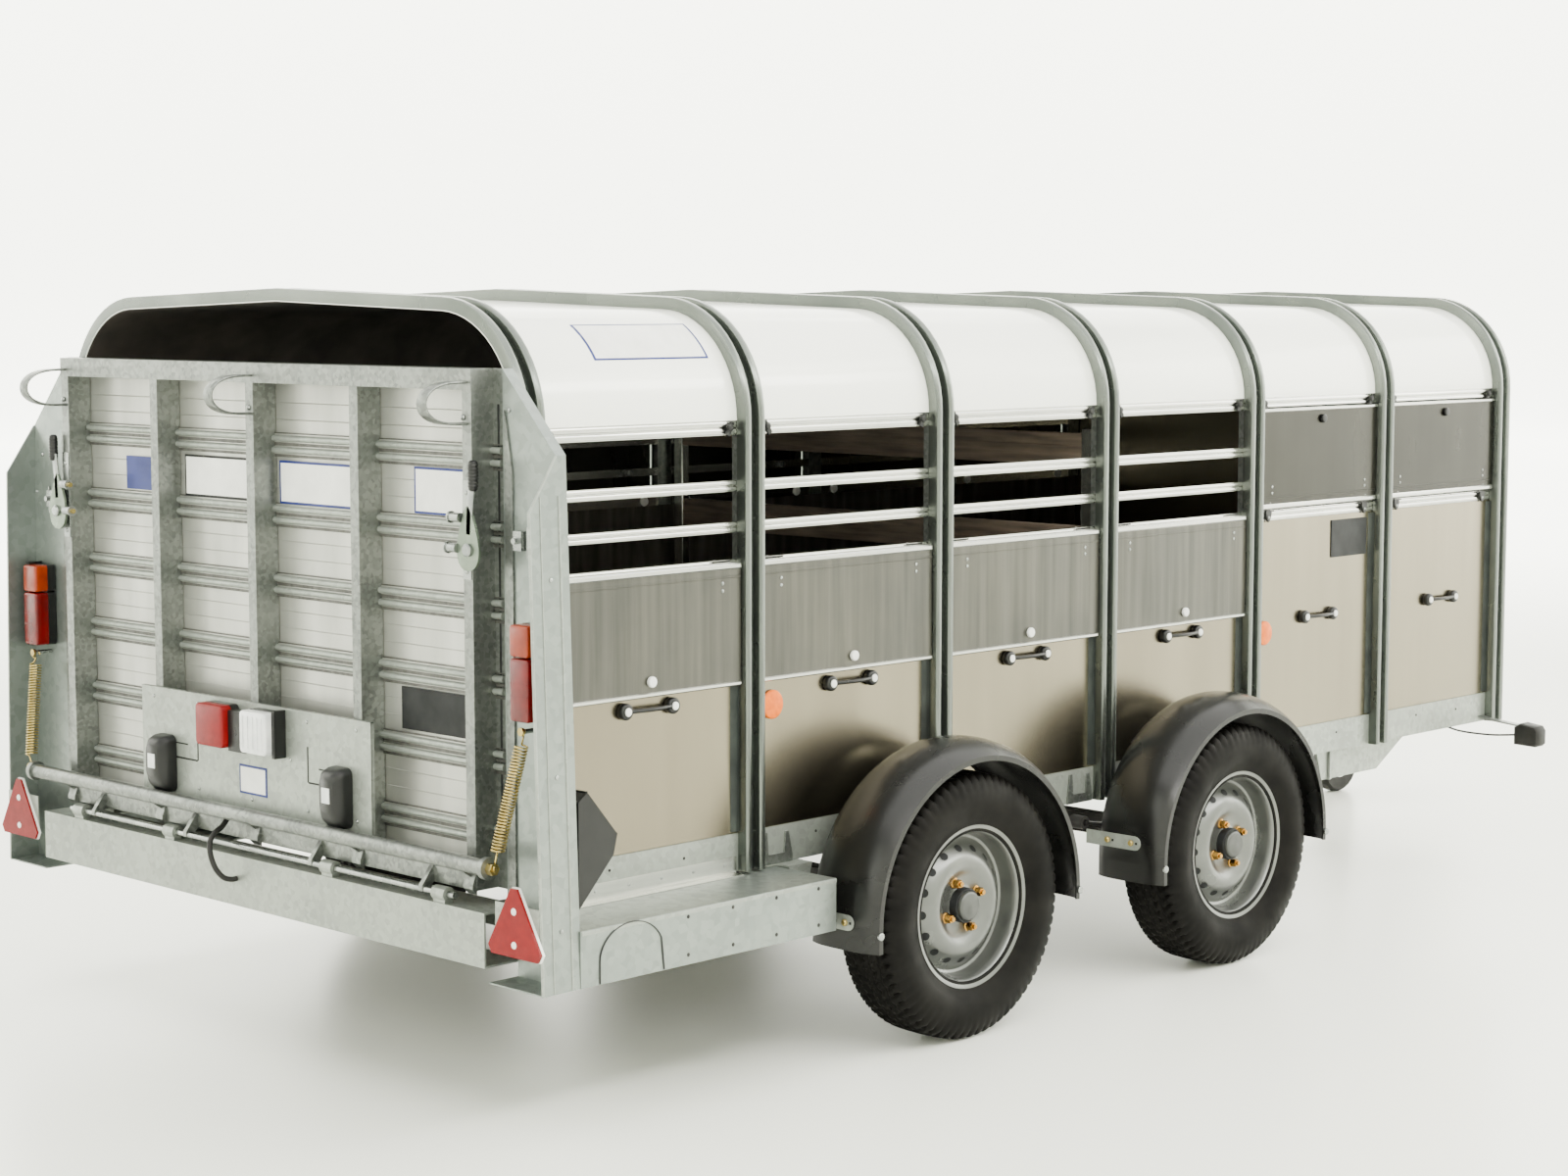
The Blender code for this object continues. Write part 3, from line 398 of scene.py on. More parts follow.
finish("zinc", (0.36, 0.375, 0.36), (0.23, 0.245, 0.24), 0.95, 0.27, scale=18, spread=0.14, bump=0.04)
finish("latch_zinc", (0.21, 0.25, 0.20), (0.14, 0.17, 0.135), 0.9, 0.34, scale=24, spread=0.16, bump=0.05)
finish("yellow_zinc", (0.50, 0.385, 0.13), (0.29, 0.22, 0.08), 0.95, 0.28, scale=26, spread=0.16, bump=0.05)
finish("gold_nut", (0.46, 0.25, 0.06), (0.30, 0.16, 0.038), 1.0, 0.26, scale=40, spread=0.1, bump=0.04)
finish("dark_steel", (0.045, 0.044, 0.044), (0.02, 0.0195, 0.0195), 0.6, 0.5, scale=12, spread=0.2, bump=0.2,
       bump_scale=160,
       dust=0.18, dust_color=(0.075, 0.066, 0.053), Specular_IOR_Level=0.25)
finish("hub_cap", (0.095, 0.098, 0.094), (0.062, 0.064, 0.061), 0.7, 0.36, scale=24, spread=0.12, bump=0.05)
finish("lens_red", (0.13, 0.0012, 0.0014), (0.07, 0.0007, 0.0009), 0.0, 0.22, scale=30, spread=0.05, coat=0.12,
       bump=0.08,
       bump_scale=260, Specular_IOR_Level=0.3)
finish("reflector_red", (0.19, 0.0006, 0.0020), (0.14, 0.0005, 0.0015), 0.0, 0.34, scale=60, spread=0.06,
       bump=0.1,
       bump_scale=500, Specular_IOR_Level=0.2)
finish("lens_amber", (0.24, 0.022, 0.0006), (0.16, 0.013, 0.0004), 0.0, 0.22, scale=30, spread=0.05, coat=0.12,
       bump=0.08,
       bump_scale=260, Specular_IOR_Level=0.3)
finish("reflector_amber", (0.78, 0.16, 0.004), (0.62, 0.105, 0.002), 0.0, 0.30, scale=80, spread=0.06, bump=0.2,
       bump_scale=260, Specular_IOR_Level=0.2)
finish("lens_clear", (0.74, 0.75, 0.74), (0.56, 0.58, 0.59), 0.1, 0.10, scale=30, spread=0.05, coat=0.9,
       bump=0.1,
       bump_scale=260)
finish("white_plastic", (0.80, 0.80, 0.77), (0.70, 0.70, 0.67), 0.0, 0.4, scale=20, spread=0.1, bump=0.06,
       bump_scale=500)
finish("blue_print", (0.010, 0.020, 0.15), (0.007, 0.015, 0.11), 0.0, 0.35, scale=20, spread=0.08, bump=0.02,
       Specular_IOR_Level=0.25)
finish("board_dark", (0.014, 0.015, 0.016), (0.007, 0.0075, 0.008), 0.1, 0.5, scale=18, spread=0.12, bump=0.05,
       Specular_IOR_Level=0.2)
finish("floor_board", (0.13, 0.115, 0.10), (0.06, 0.053, 0.047), 0.0, 0.6, scale=9, spread=0.2, bump=0.3,
       bump_scale=90,
       dust=0.25, dust_color=(0.22, 0.19, 0.15))
finish("gasket", (0.020, 0.021, 0.022), (0.011, 0.0115, 0.012), 0.0, 0.5, scale=20, spread=0.1, bump=0.1,
       bump_scale=300)


# ---------------------------------------------------------------- camera and lights
def view_and_light():
    """Camera at the fitted place; a large soft sky, a wide ceiling panel, a strip beside the roof, two low fills."""
    data = bpy.data.cameras.new("camera")
    data.lens = 65.1
    data.sensor_width = 36
    camera = bpy.data.objects.new("camera", data)
    camera.location = (-5.9377, -5.027, 1.6328)
    camera.rotation_euler = (math.radians(84.196), 0, math.radians(-45.671))
    bpy.context.scene.collection.objects.link(camera)
    bpy.context.scene.camera = camera
    lamps = (
        ("strip_side", (-0.6, -4.6, 4.4), (48, 0, 0), (9.0, 0.9), 420, (1, 0.985, 0.93)),
        ("ceiling", (-0.4, -1.2, 6.4), (0, 0, 0), (12.0, 9.0), 1150, (1, 1.0, 0.94)),
        ("rear_fill", (-7.6, 0.4, 3.2), (62, 0, -90), (5.0, 3.0), 100, (0.97, 1.0, 0.96)),
        ("front_fill", (5.6, -3.0, 3.0), (62, 0, 62), (3.0, 3.0), 130, (1, 0.97, 0.92)),
    )
    for name, place, turn, size, power, color in lamps:
        lamp = bpy.data.lights.new(name, "AREA")
        lamp.shape = "RECTANGLE"
        lamp.size, lamp.size_y = size
        lamp.energy = power
        lamp.color = color
        obj = bpy.data.objects.new(name, lamp)
        obj.location = place
        obj.rotation_euler = [math.radians(a) for a in turn]
        bpy.context.scene.collection.objects.link(obj)
    world = bpy.data.worlds.new("studio")
    world.use_nodes = True
    sky = world.node_tree.nodes["Background"]
    sky.inputs["Color"].default_value = (0.99, 1.0, 0.91, 1)
    sky.inputs["Strength"].default_value = 0.75
    bpy.context.scene.world = world


def make_stage():
    """A round pale floor that curves up into a backdrop: radius out, then a quarter circle, then straight up.
    It glows by a smooth step of the distance from the middle, times a smooth step of the distance ahead."""
    mat = finish("stage_paint", (0.90, 0.91, 0.84), (0.885, 0.895, 0.825), 0.0, 0.30, scale=0.4, spread=0.04,
                 Emission_Color=(1.0, 1.0, 0.94, 1))
    nodes, links = mat.node_tree.nodes, mat.node_tree.links
    strengths = []
    for operation, (start, end), (least, most) in (("LENGTH", (3.5, 13.0), (0.0, 3.5)),
                                                   ("DOT_PRODUCT", (-3.0, 9.0), (0.22, 1.0))):
        distance = nodes.new("ShaderNodeVectorMath")
        distance.operation = operation
        if operation == "DOT_PRODUCT":
            distance.inputs[1].default_value = (0.715, 0.699, 0.0)
        step = nodes.new("ShaderNodeMapRange")
        step.interpolation_type = "SMOOTHSTEP"
        for socket, value in (("From Min", start), ("From Max", end), ("To Min", least), ("To Max", most)):
            step.inputs[socket].default_value = value
        links.new(nodes["Texture Coordinate"].outputs["Object"], distance.inputs[0])
        links.new(distance.outputs["Value"], step.inputs["Value"])
        strengths.append(step.outputs["Result"])
    product = nodes.new("ShaderNodeMath")
    product.operation = "MULTIPLY"
    for value, socket in zip(strengths, product.inputs):
        links.new(value, socket)
    links.new(product.outputs[0], nodes["Principled BSDF"].inputs["Emission Strength"])
    flat, curve, top = 26.0, 6.0, 25.0
    turns = np.linspace(0.1, PI / 2, 12)
    radii = [0.01, 4.0, 9.0, 16.0, flat] + [flat + curve * math.sin(q) for q in turns] + [flat + curve]
    heights = [0.0] * 5 + [curve - curve * math.cos(q) for q in turns] + [top]
    a = np.arange(96) * 2 * PI / 96
    r, z = np.array(radii), np.array(heights)
    p = np.stack([r[:, None] * np.cos(a), r[:, None] * np.sin(a), np.repeat(z[:, None], 96, 1)], 2)
    mesh = bpy.data.meshes.new("stage")
    faces = quads(len(radii), 96, wrap_v=True) + [list(range(96))]
    mesh.from_pydata(p.reshape(-1, 3), [], faces)
    mesh.materials.append(mat)
    mesh.shade_smooth()
    stage = bpy.data.objects.new("stage", mesh)
    bpy.context.scene.collection.objects.link(stage)


view_and_light()
make_stage()


# ---------------------------------------------------------------- lighting lead
def make_lead():
    """A round lead of 12 mm through the frame's own route, from the sill's gland over the ramp's foot to the board."""
    route = smooth([
        (-2.4526, 0.030, 0.390), (-2.466, 0.030, 0.390), (-2.484, 0.034, 0.397), (-2.497, 0.044, 0.418),
        (-2.499, 0.058, 0.447), (-2.490, 0.071, 0.471), (-2.470, 0.080, 0.487), (-2.448, 0.085, 0.497),
        (-2.430, 0.088, 0.516), (-2.4155, 0.090, 0.540), (-2.409, 0.090, 0.575), (-2.409, 0.090, 0.610)], 6)
    lead = make("lamp_lead", None, [(sweep(circle(0.006, 16), route), "rubber")])
    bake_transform(lead)
    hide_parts("lamp_cable")


make_lead()


# ---------------------------------------------------------------- body shell
def arch(offset, foot_z, steps=14):
    """The body's cross-section over the roof, inset by offset: two straight sides, two quarter arcs, a low ridge."""
    radius, centre_y = CORNER_R - offset, HALF_WIDTH - CORNER_R
    a = np.linspace(0, PI / 2 - SLOPE, steps + 1)
    left = [(HALF_WIDTH - offset, foot_z)]
    left += list(zip(centre_y + radius * np.cos(a), CORNER_Z + radius * np.sin(a)))
    ridge = CORNER_Z + radius / math.cos(SLOPE) + centre_y * math.tan(SLOPE)
    return np.array([(-y, z) for y, z in left] + [(0.0, ridge)] + left[::-1])


def arch_skin(section, foot_z):
    """A closed section of (x, inset) points carried over the arch."""
    lines = [np.insert(arch(depth, foot_z), 0, x, axis=1) for x, depth in section]
    return skin(np.stack(lines, 1))


def make_hoops():
    """Rolled hoops: two rounded ridges with a deep groove between, and small rivets down the groove; the groove's floor
    is a near-black strip of painted shade.
    """
    for i, x in enumerate(HOOP_XS):
        e, g, d = HOOP_HALF, 0.0105, 0.020
        half = [(g - 0.0015, d), (g, d - 0.003), (g, 0.0035), (g + 0.0012, 0.001), (g + 0.0038, 0.0)]
        half += [(e - 0.0045, 0.0), (e - 0.0013, 0.0012), (e, 0.0045), (e, HOOP_DEPTH)]
        ring = [(x + a, b) for a, b in half] + [(x - a, b) for a, b in half[::-1]]
        groove = [(x - g + 0.001, d - 0.0004), (x + g - 0.001, d - 0.0004), (x + g - 0.001, d + 0.002),
                  (x - g + 0.001, d + 0.002)]
        # The groove strip is painted shade in the hoop's deep channel.
        parts = [(arch_skin(ring, HOOP_FOOT), "hoop_zinc"),
                 (arch_skin(groove, HOOP_FOOT + 0.0005), "groove_painted_shade")]
        for side in (-1, 1):
            heights = np.linspace(0.50, 1.34, 6)
            places = [(x, side * (HALF_WIDTH - d + 0.0004), z) for z in heights]
            parts.append((studs(places, OUT[side], 0.0032, 0.0022, 6), "zinc"))
        make(f"hoop_skin_{i}", "root", parts, [f"hoop_{i}"])


def make_roof():
    """White sheet over the hoops' inner line with a dark lining under it."""
    outer = HOOP_DEPTH + 0.0006
    foot = EAVES[1] + 0.0005
    sheet = [(REAR_X, outer), (FRONT_X, outer), (FRONT_X, outer + 0.0016), (REAR_X, outer + 0.0016)]
    lining = [(REAR_X + 0.002, outer + 0.0017), (FRONT_X - 0.002, outer + 0.0017),
              (FRONT_X - 0.002, outer + 0.003),
              (REAR_X + 0.002, outer + 0.003)]
    make("roof_sheet", "root", [(arch_skin(sheet, foot), "roof_white"), (arch_skin(lining, foot), "lining")],
         ["roof_skin"])


def bay(i):
    """The clear span between two hoops."""
    return HOOP_XS[i - 1] + HOOP_HALF, HOOP_XS[i] - HOOP_HALF


def pan(x0, x1, z0, z1, y, side, thick, bow, nu=15, nv=13):
    """A thin sheet whose face swells by a product of sines and ripples slightly, closed at its back."""
    u, v = np.meshgrid(np.linspace(0, 1, nu), np.linspace(0, 1, nv), indexing="ij")
    swell = bow * np.sin(PI * u) ** 0.7 * np.sin(PI * v) ** 0.7
    swell += 0.12 * bow * np.sin(5.3 * PI * u + 2.1 * x0) * np.sin(3.1 * PI * v)
    x, z = x0 + (x1 - x0) * u, z0 + (z1 - z0) * v
    front = np.stack([x, side * (y + swell), z], 2)
    back = np.stack([x, np.full_like(x, side * (y - thick)), z], 2)
    points = np.concatenate([front.reshape(-1, 3), back.reshape(-1, 3)])
    faces = quads(nu, nv)
    n = nu * nv
    faces += [[i + n for i in f[::-1]] for f in quads(nu, nv)]
    edge = [i * nv for i in range(nu)] + [(nu - 1) * nv + j for j in range(1, nv)]
    edge += [i * nv + nv - 1 for i in range(nu - 2, -1, -1)] + [j for j in range(nv - 2, 0, -1)]
    for a, b in zip(edge, edge[1:] + edge[:1]):
        faces.append([a, b, b + n, a + n])
    return points, faces


def make_sides():
    """Lower panels bay by bay, each swollen a little, with a near-black strip of painted shade beside each hoop; the
    inner face is a dull sheet.
    """
    for name, side in SIDES:
        z0, z1 = lo(f"side_panel_{name}")[2], hi(f"side_panel_{name}")[2]
        parts = []
        for i in range(1, 7):
            x0, x1 = bay(i)
            parts.append((pan(x0 - 0.012, x1 + 0.012, z0, z1, SKIN_Y - 0.0014, side, 0.0009, 0.0009), "panel"))
            # A near-black strip beside each hoop: painted shade.
            edge = [(x1 - 0.020, side * (SKIN_Y - 0.001)), (x1 + 0.004, side * (SKIN_Y - 0.001)),
                    (x1 + 0.004, side * (SKIN_Y + 0.006)), (x1 + 0.001, side * (SKIN_Y + 0.006))]
            parts.append((prism(edge, "z", z0 + 0.004, z1 - 0.004), "groove_painted_shade"))
        inner = cuboid((REAR_X, side * (SKIN_Y - 0.003), z0), (FRONT_X, side * (SKIN_Y - 0.0024), z1))
        parts.append((inner, "inner_alloy"))
        make(f"side_sheet_{name}", "root", parts, [f"side_panel_{name}"])
        chassis_y = SKIN_Y + 0.0003
        band = []
        for i in range(1, 7):
            x0, x1 = bay(i)
            band.append((pan(x0, x1, HOOP_FOOT + 0.001, z0 - 0.0005, chassis_y + 0.0018, side, 0.0016, 0.0004,
                             nu=7, nv=5),
                         "galvanised_pale"))
            place = [(x0 + 0.18, side * (chassis_y + 0.0019), HOOP_FOOT + 0.055),
                     (x1 - 0.16, side * (chassis_y + 0.0019), HOOP_FOOT + 0.05)]
            band.append((studs(place, OUT[side], 0.0035, 0.0022), "dark_steel"))
        make(f"base_band_{name}", "root", band)


def rail_profile(z0, z1, depth):
    """An extruded rail's section of (outward, z): two rounded ribs with a slot between, on a flat back."""
    h = z1 - z0
    a = np.linspace(-PI / 2, PI / 2, 7)
    ribs = []
    for m in (0.25, 0.75):
        ribs += [(0.0025 * math.cos(t) - 0.0025, z0 + h * m + 0.19 * h * math.sin(t)) for t in a]
        if m < 0.5:
            ribs += [(-0.0045, z0 + h * 0.46), (-0.0045, z0 + h * 0.54)]
    return [(-depth, z0), (-0.0028, z0)] + ribs + [(-0.0028, z1), (-depth, z1)]


def make_rails():
    """Waist, vent and eaves rails between the hoops, with the posts behind the hoops."""
    for name, side in SIDES:
        depth = 0.0182
        parts = []
        for z0, z1 in (WAIST, *VENTS, EAVES):
            for i in range(1, 7):
                x0, x1 = bay(i)
                outline = [(side * (SKIN_Y + d), z) for d, z in rail_profile(z0, z1, depth)]
                parts.append((prism(outline, "x", x0 - 0.004, x1 + 0.004), "bright"))
        for x in HOOP_XS:
            a = (x - HOOP_HALF + 0.003, side * (SKIN_Y - 0.0012), WAIST[0] + 0.001)
            parts.append((cuboid(a, (x + HOOP_HALF - 0.003, side * (SKIN_Y - depth + 0.001), EAVES[1] - 0.001)),
                          "galvanised"))
        make(f"rails_{name}", "root", parts, [f"vent_rails_{name}"])


def knob(x, y, z, side, r, h):
    """A round-edged button turned about the outward axis."""
    a = np.linspace(0, PI / 2, 5)
    profile = [(0.0005, 0), (r * 0.9, 0), (r, h * 0.2)]
    profile += [(r - 0.35 * h + 0.35 * h * math.cos(t), h * 0.65 + 0.35 * h * math.sin(t))
                for t in a] + [(0.0005, h)]
    return turned([(q, side * t) for q, t in profile], (x, side * y, z), "y", 20)


def hinge_leaf(x, y, side, up):
    """Half of a black pear-shaped hinge block above or below the hinge line, with one rivet in it."""
    t = np.linspace(0, PI, 9) if up > 0 else np.linspace(PI, 2 * PI, 9)
    block = [(x + 0.0105 * math.cos(q) * (1 + 0.25 * math.cos(2 * q)),
              1.088 + 0.0008 * up + 0.030 * math.sin(q)) for q in t]
    ys = sorted((side * y, side * (y + 0.0065)))
    rivet = studs([(x, side * (y + 0.0062), 1.088 + 0.019 * up)], OUT[side], 0.0042, 0.0028)
    return [(prism(block, "y", *ys), "black"), (rivet, "zinc")]


def make_flaps():
    """Vent flaps: a slightly swollen sheet with a turned lip at the free edge, rivets, a button and, when shut,
    the upper half of each hinge."""
    for name, side in SIDES:
        for i in range(1, 7):
            node = f"flap_{name}_{i}"
            a, b = lo(node), hi(node)
            down = b[2] < WAIST[1] + 0.001
            y = max(abs(a[1]), abs(b[1]))
            hinge, free = (b[2], a[2]) if down else (a[2], b[2])
            out = 1 if free > hinge else -1
            x0, x1 = a[0] + 0.001, b[0] - 0.001
            # Shut flaps take the darker copy of the flap finish, which is painted shade.
            look = "flap_dusty" if down else "flap_shut_painted_shade"
            z0, z1 = sorted((hinge, free))
            parts = [(pan(x0, x1, z0, z1, y - 0.0016, side, 0.0012, 0.0012), look)]
            for k, (start, width, rise) in enumerate(((0.0, 0.014, 0.0026), (0.026, 0.006, 0.0014),
                                                      (0.252, 0.010, 0.0030))):
                za, zb = hinge + out * start, hinge + out * (start + width)
                if k == 2:
                    za, zb = free - out * width, free
                ridge = [(side * (y - 0.002), za), (side * (y - 0.0016 + rise), za + 0.25 * (zb - za)),
                         (side * (y - 0.0016 + rise), za + 0.75 * (zb - za)), (side * (y - 0.002), zb)]
                parts.append((prism(ridge, "x", x0 + 0.001, x1 - 0.001), "bright" if k != 1 else look))
            rivet_z = hinge + out * 0.042
            rows = [(x, side * (y - 0.001), rivet_z + out * dz) for x in (x0 + 0.055, x1 - 0.055)
                    for dz in (0, 0.016)]
            parts.append((studs(rows, OUT[side], 0.0042, 0.0026), "zinc"))
            zk = free - out * 0.032
            parts.append((knob((x0 + x1) / 2 + 0.01, y - 0.001, zk, side, 0.0115, 0.009),
                          "white_plastic" if down else "black"))
            if not down:
                for x in (x0 + 0.049, x1 - 0.049):
                    parts += hinge_leaf(x, SKIN_Y + 0.0005, side, 1)
            make(f"vent_flap_{name}_{i}", node, parts, [node])


def make_side_fittings():
    """Turn catches on the eaves rail, lower hinge halves at the waist, lift handles, round side reflectors."""
    for name, side in SIDES:
        parts = []
        for i in range(1, 7):
            x0, x1 = bay(i)
            for x, lean in ((x0 + 0.026, 0.5), (x1 - 0.026, -0.5)):
                y = SKIN_Y + 0.001
                parts.append((knob(x, y, 1.366, side, 0.008, 0.010), "black"))
                c, s = math.cos(lean + PI / 2), math.sin(lean + PI / 2)
                tab = [(x + 0.016 * p * c - 0.006 * q * s, 1.364 + 0.016 * p * s + 0.006 * q * c)
                       for p, q in ((-1, -1), (1, -0.7), (1, 0.7), (-1, 1))]
                parts.append((prism(tab, "y", *sorted((side * (y + 0.002), side * (y + 0.007)))), "black"))
            shut = hi(f"flap_{name}_{i}")[2] > WAIST[1] + 0.001
            for x in (x0 + 0.05, x1 - 0.05):
                y = SKIN_Y + 0.0005
                if shut:
                    parts += hinge_leaf(x, y, side, -1)
                bar = cuboid((x - 0.026, side * (y + 0.001), 1.0835), (x + 0.026, side * (y + 0.004), 1.0868))
                parts.append((bar, "black"))
            xm, y, z = (x0 + x1) / 2 + 0.012, SKIN_Y - 0.0005, 0.796
            rail = [(xm - 0.066 + 0.132 * t, side * (y + 0.011 + 0.010 * math.sin(PI * t)), z)
                    for t in np.linspace(0, 1, 11)]
            parts.append((sweep(rounded(0.012, 0.009, 0.004), rail), "black"))
            for x in (xm - 0.066, xm + 0.066):
                parts.append((knob(x, y, z, side, 0.0175, 0.017), "black"))
                parts.append((knob(x, y + 0.0165, z, side, 0.0088, 0.0035), "white_plastic"))
        make(f"side_fittings_{name}", "root", parts)
        lamps = []
        for x in (HOOP_XS[1] + HOOP_HALF + 0.043, HOOP_XS[4] + HOOP_HALF + 0.043):
            y = SKIN_Y + 0.0008
            profile = [(0.0005, 0.0), (0.0315, 0.0), (0.0315, 0.004), (0.029, 0.0065), (0.018, 0.0085),
                       (0.0005, 0.0092)]
            lamps.append((turned([(r, side * t) for r, t in profile], (x, side * y, 0.767), "y", 32),
                          "reflector_amber"))
        make(f"side_reflectors_{name}", "root", lamps)


def make_front():
    """The front sheet: pressed with three shallow ribs across, behind the foremost hoop."""
    a, b = lo("front_panel"), hi("front_panel")
    outline = arch(0.0045, a[2])
    parts = [(prism(outline, "x", a[0], b[0] - 0.0008), "panel")]
    for z in (0.62, 0.90, 1.18):
        y = 0.70
        rib = [(b[0] - 0.001, z - 0.02), (b[0] + 0.004, z - 0.008), (b[0] + 0.004, z + 0.008),
               (b[0] - 0.001, z + 0.02)]
        parts.append((prism(rib, "y", -y, y), "panel"))
    rows = [(b[0] - 0.0008, s * 0.785, z) for s in (-1, 1) for z in np.linspace(0.48, 1.36, 9)]
    parts.append((studs(rows, "x", 0.004, 0.0024), "zinc"))
    make("front_sheet", "root", parts, ["front_panel"])


make_hoops()
make_roof()
make_sides()
make_rails()
make_flaps()
make_side_fittings()
make_front()


# ---------------------------------------------------------------- ramp
RAMP_Z = (0.47, 1.50)
BAR_YS = (-0.725, -0.3625, 0.0, 0.3625, 0.725)
TUBE = (-2.46, 0.534)
CLEAT_TOP, CLEAT_PITCH = 1.327, 0.1502
LATCH_PIVOT = (-2.428, 0.745, 1.148)
SPRING_TOP, SPRING_FOOT = (-2.415, 0.885, 0.80), (-2.46, 0.845, 0.54)
SPRING_TURNS, SPRING_R, SPRING_WIRE = 34, 0.0132, 0.0019


def make_ramp_frame():
    """Bars, rails and edge flanges as folded sections with worn edges; posts, gussets and feet below the tube."""
    z0, z1 = RAMP_Z
    parts = []
    for y in BAR_YS:
        parts.append((cuboid((BAR_X0, y - 0.014, z0 + 0.001), (BAR_X1, y + 0.014, z1 - 0.002)), "galvanised"))
        foot = [(BAR_X0 + 0.002, 0.462), (BAR_X0 - 0.010, 0.474), (BAR_X0 - 0.010, 0.482),
                (BAR_X0 + 0.002, 0.512)]
        parts.append((prism(foot, "y", y - 0.0145, y + 0.0145), "galvanised"))
        gusset = [(BAR_X0 + 0.004, 0.492), (TUBE[0] + 0.004, TUBE[1] - 0.013),
                  (TUBE[0] - 0.004, TUBE[1] + 0.010),
                  (BAR_X0 + 0.004, 0.540)]
        parts.append((prism(gusset, "y", y - 0.003, y + 0.003), "galvanised"))
    top = 0.740
    parts.append((cuboid((BAR_X0 - 0.0015, -top, z1 - 0.042), (BAR_X1, top, z1)), "galvanised"))
    parts.append((cuboid((BAR_X0 + 0.0008, -top, z0), (BAR_X1, top, z0 + 0.045)), "galvanised"))
    for side in (-1, 1):
        parts.append((cuboid((BAR_X1 - 0.003, side * 0.737, z0), (BAR_X1, side * 0.777, z1)), "galvanised"))
        parts.append((cuboid((BAR_X1 - 0.003, side * 0.7735, z0), (-2.348, side * 0.777, z1)), "galvanised"))
        parts.append((cuboid((BAR_X1 - 0.0036, side * 0.752, 0.62), (BAR_X1 - 0.0028, side * 0.758, 1.43)),
                      "board_dark"))
    make("ramp_bars", "ramp", parts, ["ramp_frame"], bevel=0.0022)
    tube = [(rod((TUBE[0], -0.83, TUBE[1]), (TUBE[0], 0.83, TUBE[1]), 0.0163, 32), "galvanised")]
    for side in (-1, 1):
        y = side * 0.818
        tube.append((rod((TUBE[0], y, TUBE[1]), (TUBE[0], y + side * 0.013, TUBE[1]), 0.0225, 24),
                     "galvanised"))
        tube.append((rod((TUBE[0], y + side * 0.011, TUBE[1]), (TUBE[0], side * 0.8465, TUBE[1]), 0.0125, 6),
                     "yellow_zinc"))
        tube.append((rod((TUBE[0], side * 0.844, TUBE[1]), (TUBE[0], side * 0.852, TUBE[1]), 0.006, 16),
                     "yellow_zinc"))
    tube.append((rod((-2.44, -0.70, 0.458), (-2.44, 0.70, 0.458), 0.0072, 20), "zinc"))
    for y in (-0.60, -0.23, 0.23, 0.60):
        lug = [(BAR_X0 + 0.004, 0.476), (-2.434, 0.4495), (-2.4485, 0.4545), (-2.4485, 0.4655),
               (BAR_X0 + 0.004, 0.511)]
        tube.append((prism(lug, "y", y - 0.0058, y + 0.0058), "galvanised"))
    make("ramp_tube", "ramp", tube, angle=40)
    a = np.linspace(-PI / 2, PI / 2, 33)
    tip = lo("ramp_frame")[0]
    for k, y in enumerate((-0.715, 0.0, 0.73)):
        path = [(BAR_X0 + 0.001 + (tip + 0.0028 - BAR_X0) * abs(math.cos(t)) ** 0.62, y,
                 1.433 + 0.0405 * math.sin(t)) for t in a]
        path = [(BAR_X0 + 0.004, y, 1.3925)] + path[1:-1] + [(BAR_X0 + 0.004, y, 1.4735)]
        loop = [(sweep(rounded(0.030, 0.005, 0.0023, 3), path), "galvanised")]
        loop.append((studs([(BAR_X0 - 0.0015, y, 1.405)], "-x", 0.006, 0.004, 10), "zinc"))
        make(f"ramp_loop_{k}", "ramp", loop, angle=50)


def make_ramp_deck():
    """Deck planks with a shallow grain of ribs, parted by double ribbed cleats with dark gaps between."""
    a, b = lo("ramp_deck"), hi("ramp_deck")
    parts = [(cuboid((a[0] + 0.0006, a[1], a[2]), b), "deck_planks")]
    tops = [CLEAT_TOP - CLEAT_PITCH * i for i in range(6)]
    for z in tops:
        for dz in (0.0125, -0.0125):
            t = np.linspace(0, PI, 9)
            ridge = [(a[0] + 0.001 - 0.0145 * math.sin(q) ** 0.6, z + dz - 0.0075 * math.cos(q)) for q in t]
            parts.append((prism(ridge, "y", a[1] + 0.004, b[1] - 0.004), "galvanised_pale"))
        for dz, half in ((0.0, 0.0035), (-0.0245, 0.003), (0.0235, 0.0012)):
            gap = cuboid((a[0] - 0.0042, a[1] + 0.003, z + dz - half), (a[0], b[1] - 0.003, z + dz + half))
            parts.append((gap, "plank_gap"))
        lip = [(a[0] + 0.001, z - 0.024), (a[0] - 0.0035, z - 0.022), (a[0] - 0.0035, z + 0.022),
               (a[0] + 0.001, z + 0.024)]
        parts.append((prism(lip, "y", a[1] + 0.002, b[1] - 0.002), "deck_planks"))
    for z in [t - 0.075 for t in tops] + [tops[0] + 0.07]:
        for dz in (-0.018, 0.018):
            line = [(a[0] + 0.001, z + dz - 0.0016), (a[0] - 0.0004, z + dz), (a[0] + 0.001, z + dz + 0.0016)]
            parts.append((prism(line, "y", a[1] + 0.004, b[1] - 0.004), "deck_planks"))
    make("ramp_planks", "ramp", parts, ["ramp_deck"])


def lamp_box(x0, x1, ys, zs, r, body_look, lens_look, lens_share=0.45):
    """A moulded lamp: a rounded housing and, behind it, a lens of the same outline with a softer edge."""
    (y0, y1), (z0, z1) = ys, zs
    c = np.array([(y0 + y1) / 2, (z0 + z1) / 2])
    w, h = y1 - y0, z1 - z0
    cut = x1 + (x0 - x1) * (1 - lens_share)
    o = rounded(w, h, r) + c
    out = [(skin([np.insert(o, 0, x, axis=1) for x in (x1, cut)]), body_look)]
    rings = []
    for x, inset in ((cut, 0.001), (x0 + 0.004, 0.001), (x0 + 0.0012, 0.0025), (x0, 0.006)):
        o = rounded(w - 2 * inset, h - 2 * inset, max(r - inset, 0.001)) + c
        rings.append(np.insert(o, 0, x, axis=1))
    out.append((skin(rings), lens_look))
    return out


